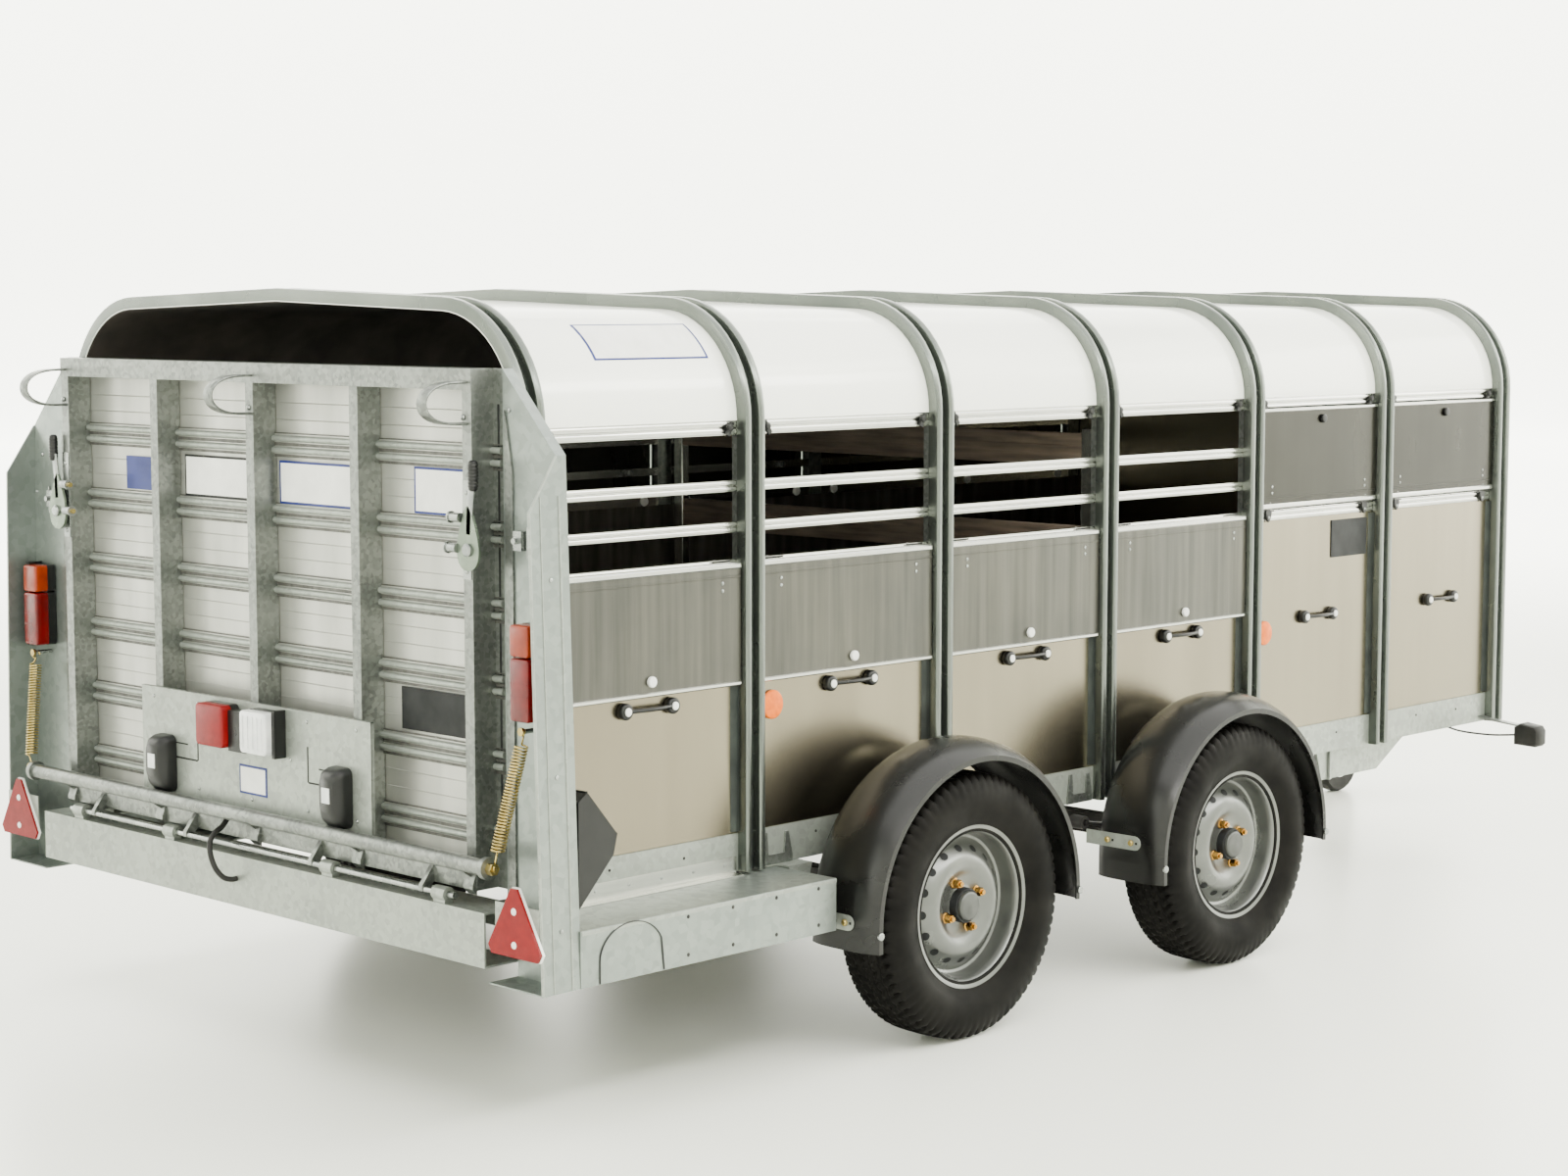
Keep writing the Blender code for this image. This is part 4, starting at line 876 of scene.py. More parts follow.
def make_board():
    """The lamp board: a pressed plate with turned edges, dark cable slots, rivets, two lamps and two plate lights."""
    a, b = lo("plate_board"), hi("plate_board")
    x, y1, z0, z1 = a[0], b[1], a[2], b[2]
    parts = [(cuboid((x, -y1, z0), (x + 0.003, y1, z1)), "galvanised_pale")]
    parts.append((cuboid((x - 0.001, -y1, z1 - 0.003), (b[0], y1, z1)), "galvanised_pale"))
    parts.append((cuboid((x + 0.0005, -y1, z0), (b[0], -y1 + 0.003, z1)), "galvanised_pale"))
    parts.append((cuboid((x + 0.0005, y1, z0), (b[0], y1 - 0.003, z1)), "galvanised_pale"))
    for side in (-1, 1):
        for ya, za, yb, zb in ((0.20, 0.70, 0.204, 0.624), (0.204, 0.622, 0.30, 0.626),
                               (0.24, 0.655, 0.296, 0.658)):
            parts.append((cuboid((x - 0.0007, side * ya, za), (x + 0.001, side * yb, zb)), "board_dark"))
    rows = [(x - 0.0001, y, z) for y in (-0.37, -0.2, 0.0, 0.2, 0.37) for z in (z0 + 0.022, z1 - 0.022)]
    rows += [(x - 0.0001, y, 0.665) for y in (-0.14, 0.16)]
    parts.append((studs(rows, "-x", 0.0045, 0.003, 10), "zinc"))
    parts.append((cuboid((x - 0.0012, -0.055, 0.573), (x + 0.001, 0.045, 0.637)), "blue_print"))
    parts.append((cuboid((x - 0.0015, -0.050, 0.578), (x - 0.0008, 0.040, 0.632)), "white_plastic"))
    make("lamp_board", "ramp", parts, ["plate_board"], bevel=0.0008)
    lamps = lamp_box(x - 0.045, x - 0.001, (0.042, 0.146), (0.672, 0.766), 0.012, "black", "reflector_red",
                     0.55)
    lamps += lamp_box(x - 0.045, x - 0.001, (-0.116, -0.018), (0.672, 0.766), 0.012, "black", "lens_clear",
                      0.55)
    lamps.append((cuboid((x - 0.030, -0.126, 0.668), (x - 0.001, -0.116, 0.770)), "black"))
    lamps.append((cuboid((x - 0.030, -0.019, 0.668), (x - 0.001, 0.043, 0.756)), "black"))
    for y in (-0.068, -0.05, -0.032, -0.084, -0.1):
        lamps.append((cuboid((x - 0.0462, y - 0.002, 0.684), (x - 0.045, y + 0.002, 0.754)), "lens_clear"))
    make("rear_lamps", "ramp", lamps, angle=40)
    lights = []
    for y in (-0.32, 0.32):
        rings = []
        for dx, w, h, dz in ((-0.001, 0.072, 0.128, 0), (-0.018, 0.070, 0.126, 0),
                             (-0.034, 0.060, 0.106, 0.004),
                             (-0.043, 0.044, 0.074, 0.008)):
            o = rounded(w, h, 0.016, 5) + np.array([y, 0.608 + dz])
            rings.append(np.insert(o, 0, x + dx, axis=1))
        lights.append((skin(rings), "black"))
        lights.append((cuboid((x - 0.0445, y - 0.013, 0.60), (x - 0.0428, y + 0.013, 0.632)), "lens_clear"))
    make("plate_lights", "ramp", lights, angle=40)


def make_latches():
    """Cam levers: a pear-shaped plate with a boss, a handle shank, a ribbed grip and two pins inward; a keeper plate
    for each stands on the ramp."""
    for name, side in SIDES:
        x, y, z = LATCH_PIVOT
        t = np.arange(28) * 2 * PI / 28
        pear = [(side * (y - 0.002) + 0.030 * math.sin(q) * (1 - 0.55 * math.cos(q)),
                 z + 0.022 + 0.064 * math.cos(q))
                for q in t]
        parts = [(prism(pear, "x", x - 0.006, x), "latch_zinc")]
        shank = [(x - 0.003, side * y, z + 0.03), (x - 0.003, side * (y + 0.003), z + 0.08),
                 (x - 0.003, side * (y + 0.010), z + 0.13)]
        parts.append((sweep(rounded(0.018, 0.006, 0.0028), smooth(shank, 5)), "zinc"))
        parts.append((turned([(0.0005, 0.004), (0.013, 0.004), (0.013, -0.007), (0.010, -0.0095),
                              (0.0005, -0.0095)],
                             (x - 0.004, side * y, z), "x", 20), "zinc"))
        parts.append((turned([(0.0005, -0.0095), (0.006, -0.0095), (0.006, 0.0093), (0.0005, 0.0093)],
                             (x, side * y, z), "x", 12), "zinc"))
        u = np.linspace(0, 1, 41)
        grip = [(0.0095 + 0.0012 * abs(math.sin(PI * 9 * q)) - 0.004 * (abs(2 * q - 1) ** 8),
                 -0.030 + 0.060 * q) for q in u]
        grip = [(0.0005, -0.030)] + grip + [(0.0005, 0.030)]
        parts.append((turned(grip, (x - 0.003, side * (y + 0.0135), z + 0.145), "z", 16), "black"))
        for dz, near in ((0.062, 0.722), (0.002, 0.712)):
            for r, y0, y1, look in ((0.0095, near, near - 0.028, "zinc"),
                                    (0.012, near - 0.0275, near - 0.031, "zinc"),
                                    (0.0055, near - 0.030, near - 0.037, "yellow_zinc")):
                parts.append((rod((x - 0.0055, side * y0, z + dz), (x - 0.0055, side * y1, z + dz), r, 20),
                              look))
        make(f"latch_lever_{name}", f"latch_{name}", parts, [f"ramp_latch_{name}"], angle=40)
        keep = [(cuboid((BAR_X0 - 0.003, side * 0.713, z - 0.06), (BAR_X0 + 0.001, side * 0.737, z + 0.135)),
                 "zinc")]
        keep.append((studs([(BAR_X0 - 0.003, side * 0.725, z + d) for d in (-0.045, 0.11)], "-x", 0.005, 0.003,
                           8), "zinc"))
        make(f"latch_keeper_{name}", "ramp", keep, bevel=0.0006, angle=40)


def make_ramp_springs():
    """Coils of 3.8 mm wire between a hook on the cheek and an eye on the tube: a helix, then two hooks."""
    for name, side in SIDES:
        top, foot = np.array(SPRING_TOP) * (1, side, 1), np.array(SPRING_FOOT) * (1, side, 1)
        axis = (foot - top) / np.linalg.norm(foot - top)
        u = np.cross(axis, [0, 0, 1.0])
        u /= np.linalg.norm(u)
        v = np.cross(axis, u)
        start, end, r = top + axis * 0.024, foot - axis * 0.030, SPRING_R
        t = np.linspace(0, 1, SPRING_TURNS * 12 + 1)
        a = 2 * PI * SPRING_TURNS * t[:, None]
        path = start + (end - start) * t[:, None] + r * (np.cos(a) * u + np.sin(a) * v)
        parts = [(sweep(circle(SPRING_WIRE, 6), path), "yellow_zinc")]
        for base, tip, turn in ((start, top, 1), (end, foot, -1)):
            q = np.linspace(0, 1.55 * PI, 18)[:, None]
            hook_r = 0.0085
            centre = tip + axis * turn * 0.001
            ring = centre + hook_r * (np.cos(q) * axis * turn + np.sin(q) * u)
            line = np.concatenate([[base + r * u, base + 0.4 * r * u - axis * turn * 0.004], ring])
            parts.append((sweep(circle(SPRING_WIRE, 8), smooth(line, 3)), "yellow_zinc"))
        coil = make(f"counter_spring_{name}", None, parts, angle=60)
        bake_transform(coil)
        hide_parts(f"ramp_spring_{name}")
        stay = []
        stay.append((rod(top + (0.040, 0, 0.004), top + (-0.006, 0, 0.004), 0.005, 12), "zinc"))
        stay.append((rod(top + (-0.004, 0, 0.004), top + (-0.010, 0, 0.004), 0.009, 6), "yellow_zinc"))
        make(f"spring_stay_{name}", "root", stay)


# ---------------------------------------------------------------- rear corners
def cheek_y(side, z):
    """The leaning cheek's outer face at a height."""
    return side * (hi("rear_corner_left")[1] - 0.034 * (z - 0.30) / 1.037)


def make_corner_details():
    """On each rear corner: fold ridges, bolts, a hasp, the tail lamp, the red triangle, the step's trim and rivets."""
    for name, side in SIDES:
        parts = []
        rear = lo("rear_corner_left")[0]
        for x, r in ((rear + 0.0015, 0.003), (rear + 0.030, 0.0016), (-2.370, 0.0022)):
            zs = np.linspace(0.302, 1.226 if x < -2.43 else 1.26, 12)
            line = [(x, cheek_y(side, z) + side * 0.0002, z) for z in zs]
            parts.append((sweep(circle(r, 8), line), "galvanised_pale"))
        edge = [(rear + 0.001, cheek_y(side, 0.302), 0.302), (rear + 0.001, cheek_y(side, 1.228), 1.228),
                (-2.3735, cheek_y(side, 1.336), 1.336)]
        parts.append((sweep(circle(0.0026, 8), edge), "galvanised_pale"))
        face = -2.3738
        rows = [(face, side * 0.80, z) for z in (0.60, 0.78, 0.96, 1.30, 1.42)] + [(face, side * 0.93, 1.18),
                                                                                   (face, side * 0.90, 1.27)]
        parts.append((studs(rows, "-x", 0.006, 0.004, 6), "zinc"))
        rows = [(-2.395, cheek_y(side, z) + side * 0.0004, z) for z in (0.42, 0.72, 1.10)]
        parts.append((studs(rows, OUT[side], 0.005, 0.003, 8), "zinc"))
        plate = [(side * 0.79, 0.46), (side * 0.812, 0.46), (side * 0.812, 1.30), (side * 0.79, 1.42)]
        parts.append((prism(plate, "x", face - 0.004, face - 0.0005), "galvanised"))
        hasp = cuboid((face - 0.020, side * 0.832, 1.150), (face - 0.002, side * 0.856, 1.188))
        parts.append((hasp, "zinc"))
        parts.append((rod((face - 0.030, side * 0.844, 1.169), (face - 0.004, side * 0.844, 1.169), 0.006, 14),
                      "zinc"))
        parts.append((rod((face - 0.008, side * 0.862, 1.196), (face - 0.008, side * 0.862, 1.135), 0.003, 8),
                      "zinc"))
        make(f"corner_trim_{name}", "root", parts)
        lamp = []
        ys = sorted((side * 0.856, side * 0.914))
        x0, x1 = -2.428, -2.3765
        lamp += lamp_box(x0, x1, ys, (0.948, 1.012), 0.008, "black", "lens_amber", 0.62)
        lamp += lamp_box(x0, x1, ys, (0.822, 0.947), 0.008, "black", "lens_red", 0.62)
        ys = sorted((side * 0.912, side * 0.924))
        lamp.append((cuboid((x0 + 0.016, ys[0], 0.818), (x1, ys[1], 1.016)), "black"))
        for z in (0.872, 0.897):
            lamp.append((cuboid((x0 - 0.0008, side * 0.860, z), (x0 + 0.001, side * 0.910, z + 0.0014)),
                         "lens_red"))
        make(f"tail_lamp_{name}", "root", lamp, angle=40)
        tri = []
        cy, cz = side * 0.903, 0.424
        for size, depth, look in ((0.087, 0.0, "white_plastic"), (0.085, -0.005, "reflector_red")):
            outline = []
            for k in range(3):
                a = PI / 2 + 2 * PI * k / 3
                for d in (-0.11, 0.11):
                    outline.append((cy + size * math.cos(a + d), cz + size * math.sin(a + d) - 0.004))
            x = -2.4515 + depth
            tri.append((prism(outline, "x", x - 0.0045, x + 0.001), look))
        rows = [(-2.461, cy, cz + 0.036), (-2.461, cy, cz - 0.030)]
        tri.append((studs(rows, "-x", 0.0075, 0.003, 12), "white_plastic"))
        bracket = cuboid((-2.4505, side * 0.835, 0.375), (-2.4475, side * 0.965, 0.47))
        tri.append((bracket, "galvanised_pale"))
        make(f"triangle_{name}", "root", tri)
        step = []
        outer = hi("rear_corner_left")[1]
        x1 = -1.626
        seam = [(-2.215 + 0.085 * math.cos(t), side * (outer + 0.0006), 0.345 + 0.068 * math.sin(t))
                for t in np.linspace(PI, 0.35, 20)]
        seam = [(-2.30, side * (outer + 0.0006), 0.3015)] + seam + [(-2.128, side * (outer + 0.0006), 0.302)]
        step.append((sweep(rounded(0.005, 0.0022, 0.001, 2), seam), "gasket"))
        rows = [(x, side * (outer - 0.0004), z) for x in np.linspace(-2.06, -1.68, 4) for z in (0.32, 0.398)]
        step.append((studs(rows, OUT[side], 0.0045, 0.0024, 8), "dark_steel"))
        lip = [(side * (outer - 0.001), 0.4128), (side * (outer + 0.0012), 0.411),
               (side * (outer + 0.0012), 0.404), (side * (outer - 0.001), 0.404)]
        step.append((prism(lip, "x", -2.345, x1), "galvanised_pale"))
        y = SKIN_Y + 0.003
        angle_strip = [(side * y, 0.4135), (side * (y + 0.026), 0.4135), (side * (y + 0.026), 0.4155),
                       (side * (y + 0.0025), 0.4165),
                       (side * (y + 0.0025), 0.452), (side * y, 0.452)]
        step.append((prism(angle_strip, "x", -2.28, -1.745), "bright"))
        rows = [(x, side * (y + 0.002), 0.436) for x in np.linspace(-2.24, -1.78, 6)]
        step.append((studs(rows, OUT[side], 0.004, 0.002, 8), "zinc"))
        make(f"step_trim_{name}", "root", step)
    chock = []
    ys = (-0.865, -0.935)
    wedge = [(-2.324, 0.660), (-2.300, 0.677), (-2.222, 0.585), (-2.232, 0.545), (-2.324, 0.447)]
    for y in np.linspace(*ys, 5):
        chock.append((prism(wedge, "y", y - 0.003, y + 0.003), "black"))
    for p, q in zip(wedge, wedge[1:] + wedge[:1]):
        chock.append((sweep(rounded(0.006, 0.004, 0.0015, 2), [(p[0], ys[0], p[1]), (p[0], ys[1], p[1])]),
                      "black"))
        c = [0.94 * np.array(r) + 0.06 * np.array([-2.28, 0.58]) for r in (p, q)]
        chock.append((prism([p, q, tuple(c[1]), tuple(c[0])], "y", *ys), "black"))
    chock.append((cuboid((-2.346, -0.89, 0.50), (-2.322, -0.91, 0.62)), "galvanised"))
    make("wheel_chock", "root", chock)


make_ramp_frame()
make_ramp_deck()
make_board()
make_latches()
make_ramp_springs()
make_corner_details()


# ---------------------------------------------------------------- wheels
VENTS_ROUND, NUTS_ROUND, NUT_CIRCLE = 16, 4, 0.056


def make_rim(name, x, side):
    """A pressed rim turned from its section: rolled lips, a stepped well and a dished disc, with oval vents, nuts and a
    cap. The vents are shallow ovals with rolled edges, sixteen around; each one's dark floor is painted shade standing
    for the open hole."""
    w = hi("rim_rear_left")[1]
    profile = [
        (0.1823, w - 0.0005), (0.1828, w - 0.003), (0.1800, w - 0.006), (0.1712, w - 0.008),
        (0.1660, w - 0.014),
        (0.1658, 0.8940), (0.1828, 0.8910), (0.1826, 0.8868), (0.1612, 0.8868), (0.1590, 0.945),
        (0.1140, 0.966),
        (0.0300, 0.962), (0.0206, 0.962), (0.0206, 1.004), (0.0330, 1.004), (0.0345, 0.985), (0.0420, 0.9815),
        (0.0480, 0.9812), (0.0560, 0.9822), (0.0660, 0.9850), (0.0740, 0.9895), (0.0815, 0.9945),
        (0.0890, 0.9972),
        (0.0970, 0.9982), (0.1050, 0.9968), (0.1125, 0.9925), (0.1200, 0.9860), (0.1280, 0.9780),
        (0.1360, 0.9705),
        (0.1430, 0.9655), (0.1495, 0.9640), (0.1550, 0.9668), (0.1588, 0.9760), (0.1605, 0.9900),
        (0.1625, w - 0.012),
        (0.1680, w - 0.0055), (0.1765, w - 0.002)]
    centre = (x, 0, WHEEL_Z)
    parts = [(turned([(r, side * t) for r, t in profile], centre, "y", 96), "rim_silver")]
    for k in range(VENTS_ROUND):
        a = 2 * PI * k / VENTS_ROUND + 0.05
        rc = 0.1270
        c, s = math.cos(a), math.sin(a)
        # The inner dark oval is painted shade in place of a see-through hole.
        for scale, depth, look in ((1.16, 0.9795, "rim_silver"), (1.0, 0.9800, "board_dark")):
            oval = []
            for q in np.arange(14) * 2 * PI / 14:
                p, t = 0.0068 * scale * math.cos(q), 0.0098 * scale * math.sin(q)
                r, tan = rc + p, t
                y = depth - 0.98 * p
                oval.append((x + r * c - tan * s, side * y, WHEEL_Z + r * s + tan * c))
            oval = np.array(oval)
            under = oval - np.array([0, side * 0.003, 0])
            parts.append((skin([under, oval]), look))
    for k in range(NUTS_ROUND):
        a = 2 * PI * k / NUTS_ROUND + 0.42
        px, pz = x + NUT_CIRCLE * math.cos(a), WHEEL_Z + NUT_CIRCLE * math.sin(a)
        parts.append((turned([(0.0005, 0), (0.0125, 0), (0.0125, side * 0.003), (0.0105, side * 0.0045),
                              (0.0005, side * 0.0045)],
                             (px, side * 0.982, pz), "y", 24), "gold_nut"))
        hexagon = [(0.0005, 0), (0.0105, 0), (0.0105, side * 0.014), (0.0085, side * 0.017),
                   (0.0005, side * 0.017)]
        parts.append((turned(hexagon, (px, side * 0.9845, pz), "y", 6), "gold_nut"))
        parts.append((turned([(0.0005, 0), (0.0055, 0), (0.0055, side * 0.006), (0.0005, side * 0.0065)],
                             (px, side * 1.0005, pz), "y", 12), "gold_nut"))
    ring = [(0.0345, 0.970), (0.0395, 0.970), (0.0395, 1.000), (0.0380, 1.0025), (0.0345, 1.0030)]
    parts.append((turned([(r, side * t) for r, t in ring], centre, "y", 40), "board_dark"))
    a = np.linspace(0, PI / 2, 8)
    cap = [(0.0005, 0.985), (0.0335, 0.985), (0.0335, 1.0060)]
    cap += [(0.0250 + 0.0080 * math.cos(t), 1.0070 + 0.0062 * math.sin(t)) for t in a] + [(0.0005, 1.0140)]
    parts.append((turned([(r, side * t) for r, t in cap], centre, "y", 40), "hub_cap"))
    make(f"wheel_disc_{name}", f"wheel_{name}", parts, [f"rim_{name}"], angle=38)


def make_tyre(name, x, side):
    """A tyre turned from its section. The tread drops in four round grooves, wavy round the wheel, and in slits that
    lean across the blocks and run down the shoulders; fine rings mark the sidewall."""
    radius = hi("tyre_rear_left")[2] - WHEEL_Z
    n = 288
    a = np.arange(n) * 2 * PI / n
    control = [(0.1663, 0.897), (0.1672, 0.8925), (0.1850, 0.8900), (0.2060, 0.8785), (0.2350, 0.8715),
               (0.2600, 0.8745),
               (0.2800, 0.8815), (0.2890, 0.8870), (0.2945, 0.8930)]
    tread_t = np.linspace(0.8975, 1.0085, 27)
    crown = [(radius - 0.0002 - 0.0022 * ((t - 0.953) / 0.0555) ** 2, t) for t in tread_t]
    section = control + crown + [(r, 1.906 - t) for r, t in control[::-1]]
    o = np.array(section)
    r = np.repeat(o[None, :, 0], n, 0)
    t = np.repeat(o[None, :, 1], n, 0)
    u = t - 0.953
    theta = a[:, None]
    for centre in (-0.036, -0.0125, 0.0125, 0.036):
        wave = centre + 0.0022 * np.sin(36 * theta + 30 * centre)
        groove = np.clip(1 - (np.abs(u - wave) / 0.0042) ** 4, 0, 1) * (r > 0.29)
        r = r - 0.0058 * groove
    slit = (np.sin(72 * theta + 160 * np.abs(u) + 2 * np.sign(u)) > 0.55) * (r > 0.2925)
    r = r - 0.0050 * slit
    shoulder = (np.abs(u) > 0.055) & (r > 0.268) & (r < 0.2955)
    r = r - 0.0058 * shoulder * (np.sin(72 * theta + 11) > 0.3)
    ringed = (np.abs(o[:, 1] - 0.953) > 0.06) & (o[:, 0] < 0.26)
    t = t + np.sign(u) * 0.0006 * ringed[None, :] * np.sin(o[None, :, 0] * 620)
    p = np.stack([x + r * np.cos(theta), side * t, WHEEL_Z + r * np.sin(theta)], 2)
    make(f"tyre_tread_{name}", f"wheel_{name}", [(skin(p, closed=True), "tyre")], [f"tyre_{name}"], angle=50)


def make_mudguard(name, x, side):
    """A moulded guard: a crowned section with rolled lips carried over an arc, its crown swelling to the top of the arch
    and settling to a flat tail, which drops straight down behind the wheel."""
    y0, y1 = lo("mudguard_rear_left")[1] + 0.001, hi("mudguard_rear_left")[1] - 0.001
    top = hi("mudguard_rear_left")[2] - WHEEL_Z - 0.002
    a = np.linspace(math.radians(-5), math.radians(180), 64)
    tail = np.linspace(0.004, 0.048, 5)
    base = top - 0.017
    sections = []
    v = np.linspace(-1, 1, 21)
    for k in range(len(a) + len(tail)):
        angle = a[min(k, len(a) - 1)]
        drop = tail[k - len(a)] if k >= len(a) else 0.0
        swell = 0.017 * math.sin(max(min(angle, PI), 0)) ** 0.6
        edge = base - 0.016
        outer = [(edge + (base - edge) * (1 - abs(q) ** 3.4) + swell * (1 - q * q), q) for q in v]
        lip_r = edge - 0.012
        ring = [(lip_r, -1.0)] + outer + [(lip_r, 1.0), (lip_r, 0.965)]
        ring += [(r - 0.004, q * 0.965) for r, q in outer[::-1]] + [(lip_r, -0.965)]
        ym, half = (y0 + y1) / 2, (y1 - y0) / 2
        section = []
        for r, q in ring:
            section.append((x + r * math.cos(angle) if drop == 0 else x - r, side * (ym + half * q),
                            WHEEL_Z + r * math.sin(angle) - drop))
        sections.append(section)
    parts = [(skin(sections), "guard_plastic")]
    for where in (-1, 1):
        bx, bz = x + where * (base - 0.012), 0.290
        parts.append((knob(bx - where * 0.006, y1 - 0.001, bz, side, 0.0085, 0.007), "zinc"))
    make(f"guard_{name}", "root", parts, [f"mudguard_{name}"], angle=45)


def make_guard_brackets():
    """Flat straps with a round end and yellow bolts, laid across the back of each guard's tail, and two foot plates
    with upright ears on the base band."""
    reach = hi("mudguard_rear_left")[2] - WHEEL_Z - 0.019
    for name, side in SIDES:
        parts = []
        for wheel_x, z, bolts in ((WHEELS["rear"], 0.312, (0.925, 0.968)),
                                  (WHEELS["front"], 0.345, (0.895, 0.965))):
            x, y0, y1 = wheel_x - reach, 0.830, 0.992
            t = np.linspace(-PI / 2, PI / 2, 9)
            strap = [(side * y0, z + 0.017)] + [(side * (y1 - 0.017 + 0.017 * math.cos(q)),
                                                 z - 0.017 * math.sin(q)) for q in t]
            strap.append((side * y0, z - 0.017))
            parts.append((prism(strap, "x", x - 0.0045, x - 0.0015), "galvanised_pale"))
            for y in bolts:
                bolt = [(0.0005, 0.0), (0.0075, 0.0), (0.0075, -0.004), (0.005, -0.007), (0.0005, -0.007)]
                parts.append((turned(bolt, (x - 0.0044, side * y, z), "x", 12), "yellow_zinc"))
                parts.append((cuboid((x - 0.0050, side * (y + 0.012), z - 0.003),
                                     (x - 0.0044, side * (y + 0.018), z + 0.003)),
                              "board_dark"))
        y = SKIN_Y + 0.0023
        for x in (HOOP_XS[1] + 0.085, HOOP_XS[3] - 0.085):
            foot = [(x - 0.048, 0.418), (x + 0.048, 0.418), (x + 0.048, 0.434), (x + 0.036, 0.486),
                    (x + 0.026, 0.486),
                    (x + 0.022, 0.440), (x - 0.026, 0.440), (x - 0.030, 0.490), (x - 0.040, 0.490),
                    (x - 0.048, 0.434)]
            parts.append((prism(foot, "y", *sorted((side * y, side * (y + 0.004)))), "galvanised"))
        make(f"guard_brackets_{name}", "root", parts, bevel=0.0008)


for where, wheel_x in WHEELS.items():
    for name, side in SIDES:
        make_rim(f"{where}_{name}", wheel_x, side)
        make_tyre(f"{where}_{name}", wheel_x, side)
        make_mudguard(f"{where}_{name}", wheel_x, side)
make_guard_brackets()


# ---------------------------------------------------------------- running gear, drawbar and inside
BEAM_TOP = 0.418
JOCKEY_XY = (2.10, 0.205)


def make_leaf_packs():
    """Four leaves a pack, each a strip along a parabola from the eye to the axle seat."""
    y0, y1 = 0.779, 0.822
    ym, width = (y0 + y1) / 2, (y1 - y0) * 0.9
    for where, axle_x in WHEELS.items():
        for name, side in SIDES:
            for end, direction in (("back", -1), ("fore", 1)):
                parts = []
                for k, reach in enumerate((0.35, 0.30, 0.22, 0.14)):
                    s = np.linspace(0.004, reach, 13)
                    z = 0.335 + (0.374 - 0.335) * (s / 0.35) ** 2 - 0.0088 * k
                    path = np.stack([axle_x + direction * s, np.full_like(s, side * ym), z], 1)
                    parts.append((sweep(rounded(width, 0.0078, 0.002, 2), path), "dark_steel"))
                eye = (axle_x + direction * 0.352, side * ym, 0.374)
                ring = [(0.0085, -width / 2), (0.0165, -width / 2), (0.0165, width / 2), (0.0085, width / 2)]
                parts.append((turned(ring, eye, "y", 24), "dark_steel"))
                clip_x = axle_x + direction * 0.17
                parts.append((cuboid((clip_x - 0.009, side * (y0 - 0.001), 0.318),
                                     (clip_x + 0.009, side * (y1 + 0.001), 0.352)), "galvanised"))
                half = make(f"leaf_{where}_{end}_{name}", None, parts)
                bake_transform(half)
                if where == "rear" and end == "back":
                    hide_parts(f"suspension_{name}")
            seat = []
            for x in (axle_x - 0.034, axle_x + 0.034):
                for y in (y0 - 0.006, y1 + 0.006):
                    seat.append((rod((x, side * y, 0.288), (x, side * y, 0.356), 0.0055, 12), "zinc"))
                    seat.append((rod((x, side * y, 0.282), (x, side * y, 0.292), 0.0095, 6), "zinc"))
                seat.append((rod((x, side * (y0 - 0.006), 0.352), (x, side * (y1 + 0.006), 0.352), 0.0055, 12),
                             "zinc"))
            plate = cuboid((axle_x - 0.052, side * (y0 - 0.014), 0.291),
                           (axle_x + 0.052, side * (y1 + 0.014), 0.299))
            seat.append((plate, "galvanised"))
            make(f"axle_seat_{where}_{name}", f"axle_{where}", seat)
            drum = []
            rings = [(0.112, 0.864), (0.1158, 0.870), (0.1158, 0.880), (0.1135, 0.883), (0.1135, 0.892),
                     (0.1158, 0.895), (0.1158, 0.918), (0.112, 0.9255), (0.060, 0.9258), (0.060, 0.8615)]
            drum.append((turned([(r, side * t) for r, t in rings], (axle_x, 0, WHEEL_Z), "y", 48),
                         "dark_steel"))
            plate = [(0.040, 0.858), (0.122, 0.858), (0.122, 0.861), (0.040, 0.861)]
            drum.append((turned([(r, side * t) for r, t in plate], (axle_x, 0, WHEEL_Z), "y", 48),
                         "galvanised"))
            make(f"drum_{where}_{name}", f"axle_{where}", drum)


def make_gate():
    """The partition gate: bright posts and broad slats with rounded edges."""
    a, b = lo("partition_gate"), hi("partition_gate")
    x0, x1 = a[0], b[0]
    parts = []
    for y in (a[1] + 0.018, b[1] - 0.018):
        parts.append((cuboid((x0 + 0.001, y - 0.017, a[2]), (x1 - 0.001, y + 0.017, b[2])), "bright"))
    z0, z1 = a[2], b[2]
    pitch = (z1 - z0 - 0.104) / 3
    for i in range(4):
        z = z0 + 0.012 + pitch * i
        parts.append((cuboid((x0 + 0.003, a[1] + 0.03, z), (x1 - 0.003, b[1] - 0.03, z + 0.08)), "slats"))
        parts.append((cuboid((x0 + 0.0015, a[1] + 0.034, z + 0.030), (x1 - 0.0015, b[1] - 0.034, z + 0.050)),
                      "slats"))
    make("gate_frame", "gate", parts, ["partition_gate"], bevel=0.002)


def make_inside():
    """Fittings seen through the vents: pale washers along the waist and tether studs in each bay."""
    parts = []
    for _, side in SIDES:
        y = SKIN_Y - 0.0188
        for i in range(1, 7):
            x0, x1 = bay(i)
            for x in (x0 + 0.05, x1 - 0.05):
                washer = [(0.0005, 0), (0.014, 0), (0.012, -side * 0.004), (0.0005, -side * 0.005)]
                parts.append((turned(washer, (x, side * y, 1.0735), "y", 18), "white_plastic"))
            parts.append((turned([(0.0005, 0), (0.008, 0), (0.008, -side * 0.012), (0.0005, -side * 0.014)],
                                 ((x0 + x1) / 2 + 0.16, side * y, 1.155), "y", 14), "zinc"))
    make("inner_fittings", "root", parts)


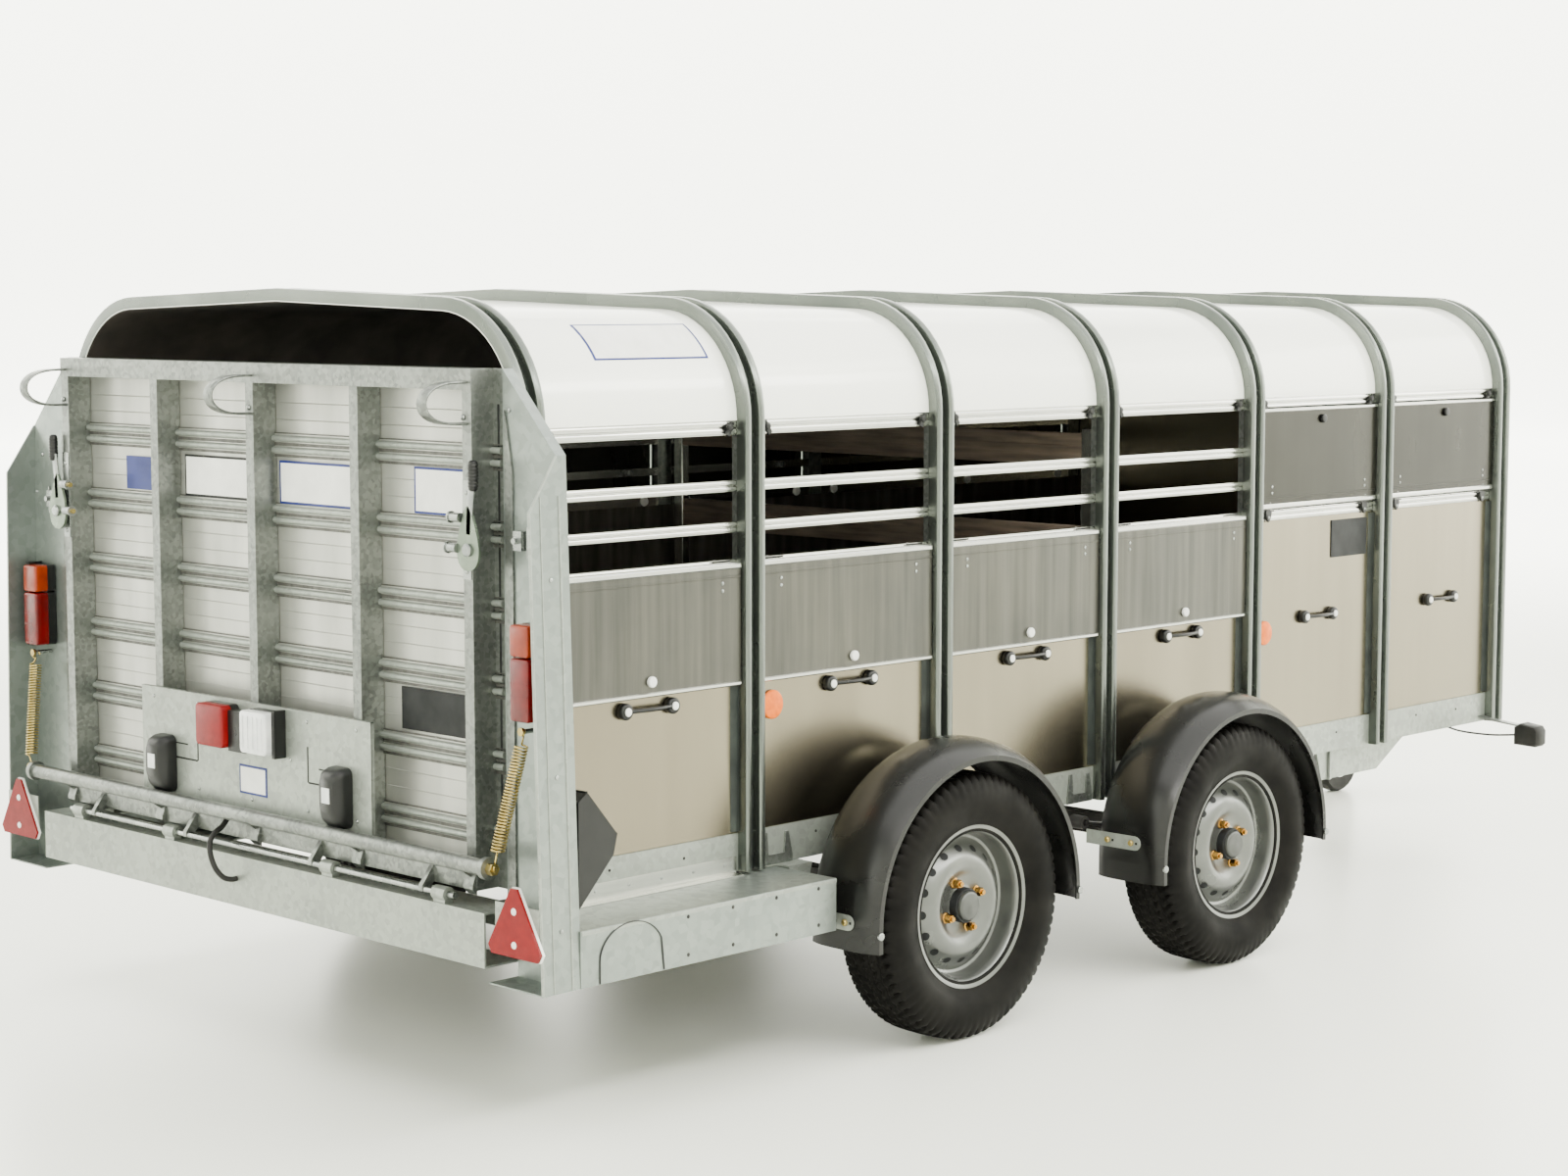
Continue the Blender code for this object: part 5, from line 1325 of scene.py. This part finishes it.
def make_front_fittings():
    """Marker lamps on stalks with their leads, drawbar bolts, and the jockey wheel's cap and hub."""
    parts = []
    for _, side in SIDES:
        x = 1.272
        y0 = SKIN_Y + 0.004
        stalk = [(x + 0.02, side * (y0 - 0.01), 0.435), (x + 0.02, side * (y0 + 0.03), 0.428),
                 (x + 0.02, side * (y0 + 0.14), 0.418)]
        parts.append((sweep(rounded(0.030, 0.004, 0.0015, 2), smooth(stalk, 4)), "galvanised"))
        outline = [(0.000, 0.368), (0.000, 0.418), (0.014, 0.430), (0.050, 0.424), (0.056, 0.412),
                   (0.056, 0.374), (0.050, 0.366)]
        rings = []
        for dx, k in ((-0.028, 0.90), (-0.022, 1.0), (0.020, 1.0), (0.027, 0.9)):
            c = np.array([0.030, 0.397])
            ring = [(p - c) * k + c for p in np.array(outline)]
            rings.append([(x + dx + 0.012, side * (y0 + 0.125 + q[0] * 1.35), q[1]) for q in ring])
        parts.append((skin(rings), "rubber"))
        lens = [(x + 0.0382, side * (y0 + 0.14), 0.380), (x + 0.040, side * (y0 + 0.188), 0.414)]
        parts.append((cuboid(*lens), "lens_clear"))
        lead = smooth([(x - 0.16, side * (y0 - 0.012), 0.424), (x - 0.11, side * (y0 + 0.012), 0.405),
                       (x - 0.05, side * (y0 + 0.070), 0.394),
                       (x - 0.012, side * (y0 + 0.132), 0.396)], 6)
        parts.append((sweep(circle(0.0028, 8), lead), "rubber"))
    make("marker_lamps", "root", parts, angle=40)
    beam = []
    for y, out in ((-0.0757, "-y"), (0.0757, "y")):
        beam.append((studs([(x, y, BEAM_TOP - 0.02) for x in (2.19, 2.235, 2.28)], out, 0.008, 0.006, 6),
                     "yellow_zinc"))
    make("drawbar_bolts", "root", beam)
    cap = [(0.0005, -0.012), (0.026, -0.012), (0.026, 0.0), (0.020, 0.006), (0.0005, 0.006)]
    cap_z = hi("jockey_tube")[2] - 0.012
    make("jockey_cap", "jockey_leg", [(turned(cap, (*JOCKEY_XY, cap_z), "z", 28), "black")])
    wheel = mid("jockey_wheel")
    hub = [(0.011, -0.029), (0.030, -0.0265), (0.052, -0.0235), (0.052, 0.0235), (0.030, 0.0265),
           (0.011, 0.029)]
    make("jockey_hub", "jockey_wheel", [(turned(hub, wheel, "y", 32), "white_plastic")])


def plate(points, normal, look_edge, look_face, inset):
    """A thin blank plate with a coloured border: four corners, lifted along a normal."""
    p, n = np.array(points, float), np.array(normal, float)
    u = (p[1] - p[0]) / np.linalg.norm(p[1] - p[0])
    v = (p[3] - p[0]) / np.linalg.norm(p[3] - p[0])
    inner = p + inset * np.array([u + v, -u + v, -u - v, u - v])
    return [(skin([p, p + n * 0.0006]), look_edge), (skin([inner, inner + n * 0.0009]), look_face)]


def make_blank_plates():
    """Blank plates where a maker or a user would put their own: one on the roof, one on bay five, four on the ramp."""
    face = lo("ramp_deck")[0]
    ramp = []
    for y0, y1, z0, z1, edge, inner in (
            (0.43, 0.56, 1.205, 1.280, "blue_print", "blue_print"),
            (0.02, 0.325, 1.200, 1.292, "board_dark", "white_plastic"),
            (-0.340, -0.03, 1.200, 1.292, "blue_print", "white_plastic"),
            (-0.65, -0.49, 1.203, 1.298, "blue_print", "white_plastic"),
            (-0.700, -0.44, 0.758, 0.846, "board_dark", "board_dark")):
        corners = [(face - 0.004, y0, z0), (face - 0.004, y1, z0), (face - 0.004, y1, z1),
                   (face - 0.004, y0, z1)]
        ramp += plate(corners, (-1, 0, 0), edge, inner, 0.005)
    make("ramp_plates", "ramp", ramp)
    parts = []
    x0, x1 = bay(5)
    y = -(SKIN_Y + 0.0006)
    corners = [(x1 - 0.20, y, 0.945), (x1 - 0.03, y, 0.945), (x1 - 0.03, y, 1.045), (x1 - 0.20, y, 1.045)]
    parts += plate(corners, (0, -1, 0), "board_dark", "board_dark", 0.004)
    radius, cy = CORNER_R - HOOP_DEPTH - 0.0006, HALF_WIDTH - CORNER_R
    x0, x1 = -2.10, -1.78
    for half, lift, look in ((0.0, 0.0006, "blue_print"), (0.006, 0.0009, "white_plastic")):
        a = np.linspace(math.radians(34) + half * 3, math.radians(60) - half * 3, 10)
        rings = []
        for x in (x0 + half, x1 - half):
            ring = [(x, -(cy + (radius + lift) * math.cos(t)), CORNER_Z + (radius + lift) * math.sin(t))
                    for t in a]
            ring += [(x, -(cy + (radius - 0.0004) * math.cos(t)), CORNER_Z + (radius - 0.0004) * math.sin(t))
                     for t in a[::-1]]
            rings.append(ring)
        parts.append((skin(rings), look))
    make("body_plates", "root", parts)


make_leaf_packs()
make_gate()
make_inside()
make_front_fittings()
make_blank_plates()

CAD_LOOK = {
    "chassis_frame": "galvanised_pale", "rear_corner_right": "cheek_zinc", "rear_corner_left": "cheek_zinc",
    "jockey_tube": "zinc", "jockey_fork": "galvanised", "jockey_wheel": "rubber", "coupling_handle": "black",
    "handbrake_lever": "black", "floor_deck": "floor_board", "coupling_head": "dark_steel",
    "axle_front": "dark_steel", "axle_rear": "dark_steel",
}
for node, look in CAD_LOOK.items():
    for material_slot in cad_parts[node].material_slots:
        material_slot.material = MATERIALS[look]
